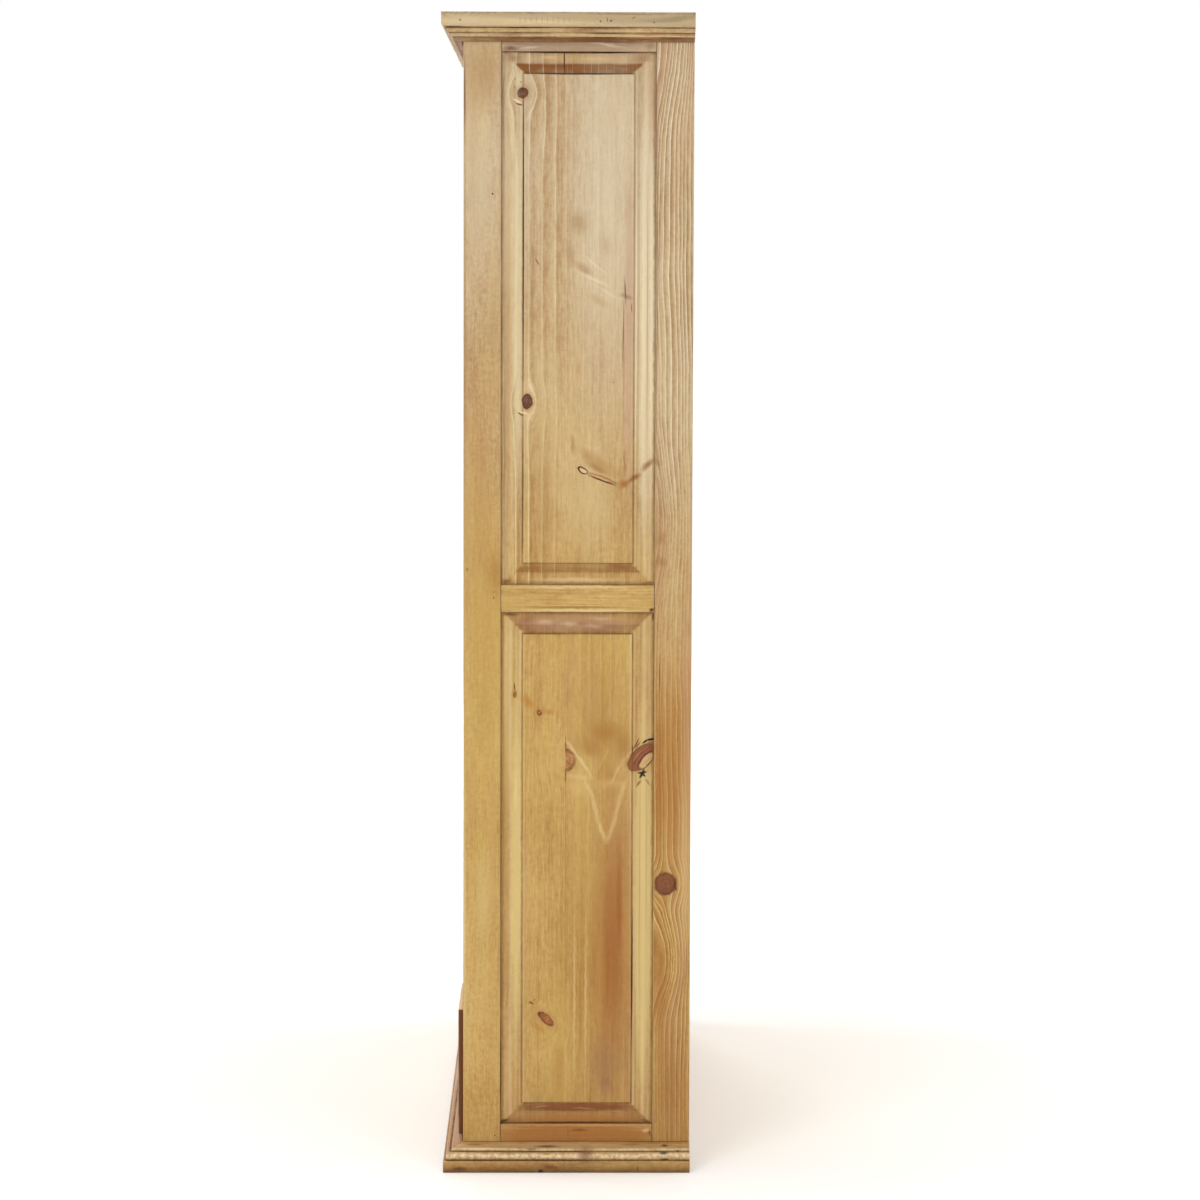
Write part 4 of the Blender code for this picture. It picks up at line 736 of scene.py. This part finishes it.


# section points: outwards and upwards in mm, stain, wear and painted highlight, and by how many mm the run to
# the next one bulges; a bulge's crest adds a painted highlight, as much as shine
crown = {"level": 1.8067, "shine": 0.4, "fade": 1, "points": [
    (0.3, -20.5, 1, 0, 0), (5, -20.5, 0.75, 0, -1.4), (15, -15.8, 0.6, 0, 0), (15.8, -15.4, 1.1, 0, 0),
    (15.8, -14.4, 1, 0, 1.5), (21, -9.5, 0.4, 0.2, 0), (21, -9.1, 1.1, 0, 0), (21, -8, 1.1, 0, 1.5),
    (27, -1.8, 0.4, 0.2, 0), (27.5, -1.4, 1.1, 0, 0), (27.5, 0, 1.1, 0, 0), (0.3, 0, 1.1, 0, 0)]}
base = {"level": 0, "shine": 1, "fade": 2, "points": [
    (0.3, 0, 0.3, 0, 0), (31, 0, 0.4, 0, 0), (31, 16.5, 0.05, 0.1, 0), (30.5, 18, 0.3, 0.3, 0),
    (26.5, 18.2, 0.9, 0, 0), (26.5, 19, 0.8, 0, 3), (21.8, 30.6, 0.3, 0.3, 0), (21.5, 31, 0.9, 0, 0),
    (18.5, 31.3, 0.9, 0, 0), (18.5, 32.5, 0.4, 0.4, 0), (18.2, 34.5, 0, 0.8, 0), (15, 36.2, 0.12, 0, 0),
    (2, 42.4, 0.25, 0, 0), (0.3, 43, 0.9, 0, 0)]}


def mouldingSection(moulding, fine=6):
    points = []
    shape = moulding["points"]
    for number, (*corner, stain, wearAndHighlight, bow) in enumerate(shape):
        here, after = (Vector([v / 1000 for v in point])
                       for point in (corner, shape[(number + 1) % len(shape)][:2]))
        chord = after - here
        right = Vector((chord.y, -chord.x)).normalized()
        count = fine if bow else 1
        for step in range(count):
            share = step / count
            # crest of the bulge: painted highlight there, as much as shine, on top of its wear, and thinner
            # stain
            crest = 4 * share * (1 - share)
            at = here + chord * share + right * (bow / 1000) * crest
            points.append((at.x, at.y, stain * (1 - crest) ** moulding["fade"] if bow > 0 else stain,
                           max(wearAndHighlight, crest * moulding["shine"]) if bow > 0 else wearAndHighlight))
    return points


def dressMoulding(node, moulding):
    c = carcass
    low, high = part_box(node)
    facing = node.rsplit("_", 1)[1]
    outs, ups, glaze, wearAndHighlight = zip(*mouldingSection(moulding))
    bm = bmesh.new()
    near, far = [], []  # the two ends, mitred at the front corners and square at the back
    for out, up in zip(outs, ups):
        near.append((out, c["clear"] - out, up))
        far.append((out, c["frontRun"] + out - c["clear"] if facing == "front" else c["sideRun"], up))
    near, far = ([bm.verts.new(place) for place in end] for end in (near, far))
    for ring in (near, far, *zip(near[-1:] + near, near, far, far[-1:] + far)):
        bm.faces.new(ring)
    bmesh.ops.recalc_face_normals(bm, faces=bm.faces)
    if facing == "front":
        bmesh.ops.rotate(bm, verts=bm.verts, cent=(0, 0, 0), matrix=Matrix.Rotation(-math.pi / 2, 3, "Z"))
    elif facing == "left":
        bmesh.ops.scale(bm, verts=bm.verts, vec=(-1, 1, 1))
        bmesh.ops.reverse_faces(bm, faces=bm.faces)
    side = c["side"] if facing == "right" else -c["side"]
    bmesh.ops.translate(bm, verts=bm.verts, vec=(side, c["front"], moulding["level"]))
    wide = Vector((0.1, 0.1, 0.1))  # keeps arris wear off, the section carries its own wear and painted highlight
    settle(node, bm, low - wide, high + wide, {"glaze": glaze * 2, "wearAndHighlight": wearAndHighlight * 2})


for node in frame["nodes"]:
    if "_panel_" in node:
        dressPanel(node)
    elif node.startswith("crown"):
        dressMoulding(node, crown)
    elif node.startswith("base"):
        dressMoulding(node, base)
    else:
        dressBoard(node)

# studio: pale floor that runs to a white background, soft light from the camera's side
studio = {"floor": "#f4f2ee", "floorSize": 60, "floorDrop": 0.0005, "nearLift": 0.14, "farLift": 0.76,
          "nearTo": 0.8, "farFrom": 3.6, "ambient": 0.27}


def seenDirectly(tree):  # 1 for the camera's view and for what shines or shows through
    seen = 0
    for ray in ("Is Camera Ray", "Is Glossy Ray", "Is Transmission Ray"):
        seen = add(tree, "Math", {0: seen, 1: add(tree, "LightPath", out=ray)}, **highest)
    return seen


def floorPaint():  # matt painted floor, lifted to white away from the object where it is seen directly
    s = studio
    material = bpy.data.materials.new("paleFloor")
    material.use_nodes = True
    tree = material.node_tree
    tree.nodes.clear()
    spot = add(tree, "TexCoord", out="Object")
    grit = add(tree, "TexNoise", {"Vector": spot, "Scale": 3, "Detail": 4})
    rough = add(tree, "MapRange", {0: grit, 1: 0.3, 2: 0.7, 3: 0.85, 4: 0.95})
    paint = add(tree, "BsdfPrincipled", {"Base Color": hexColour(s["floor"]), "Roughness": rough})
    away = add(tree, "VectorMath", {0: spot}, **length)
    white = add(tree, "MapRange", {0: away, 1: s["nearTo"], 2: s["farFrom"], 3: s["nearLift"],
                                   4: s["farLift"]})  # the shadow stays near the object
    white = add(tree, "Math", {0: seenDirectly(tree), 1: white}, **times)
    shader = add(tree, "AddShader", {0: paint, 1: add(tree, "Emission", {"Strength": white})})
    tree.links.new(shader, tree.nodes.new("ShaderNodeOutputMaterial").inputs["Surface"])
    return material


bm = bmesh.new()
bmesh.ops.create_grid(bm, x_segments=1, y_segments=1, size=studio["floorSize"])
bmesh.ops.translate(bm, verts=bm.verts, vec=(0, 0, -studio["floorDrop"]))
mesh = bpy.data.meshes.new("floor")
bm.to_mesh(mesh)
bm.free()
mesh.materials.append(floorPaint())
floor = bpy.data.objects.new("floor", mesh)
scene.collection.objects.link(floor)

world = bpy.data.worlds.new("studio")
scene.world = world
world.use_nodes = True
tree = world.node_tree
tree.nodes.clear()
power = add(tree, "MapRange", {0: seenDirectly(tree), 3: studio["ambient"], 4: 1})
sky = add(tree, "Background", {"Color": (1, 1, 1, 1), "Strength": power})
tree.links.new(sky, tree.nodes.new("ShaderNodeOutputWorld").inputs["Surface"])

lamps = [  # name, place, aimed at, size in metres, watts
    ("keyLamp", (5, -2.6, 3.2), (0.4, 0, 1), 2.6, 113),
    ("fillLamp", (4.6, 3.2, 1.8), (0.4, 0, 0.9), 2.6, 52),
    ("frontLamp", (-0.6, -4.5, 2.6), (0, 0, 0.9), 2.6, 90),
    ("topLamp", (0.3, 0, 5), (0.3, 0, 0), 4, 95),
    ("leftLamp", (-5, -0.6, 2.8), (-0.4, 0, 0.9), 2.6, 110),
    ("backLamp", (-0.8, 4.8, 2.4), (0, 0, 0.9), 2.6, 80),
]
for name, place, aim, size, watts in lamps:
    lamp = bpy.data.lights.new(name, "AREA")
    lamp.size, lamp.energy = size, watts
    lampObject = bpy.data.objects.new(name, lamp)
    lampObject.location = place
    lampObject.rotation_euler = (Vector(aim) - Vector(place)).to_track_quat("-Z", "Y").to_euler()
    scene.collection.objects.link(lampObject)

view = {"place": (6.04, -0.0136, 1.4349), "tilt": 4.258, "yaw": 0.683, "roll": 0.19, "lens": 104.93,
        "sensor": 36, "shiftY": -0.06}
cameraData = bpy.data.cameras.new("camera")
cameraData.lens, cameraData.sensor_width, cameraData.shift_y = view["lens"], view["sensor"], view["shiftY"]
camera = bpy.data.objects.new("camera", cameraData)
tilt, yaw = math.radians(view["tilt"]), math.radians(view["yaw"])
ahead = Vector((-math.cos(tilt) * math.cos(yaw), math.cos(tilt) * math.sin(yaw), -math.sin(tilt)))
turn = ahead.to_track_quat("-Z", "Y").to_matrix() @ Matrix.Rotation(math.radians(view["roll"]), 3, "Z")
camera.matrix_world = Matrix.Translation(view["place"]) @ turn.to_4x4()
scene.collection.objects.link(camera)
scene.camera = camera
print("studio and camera set")
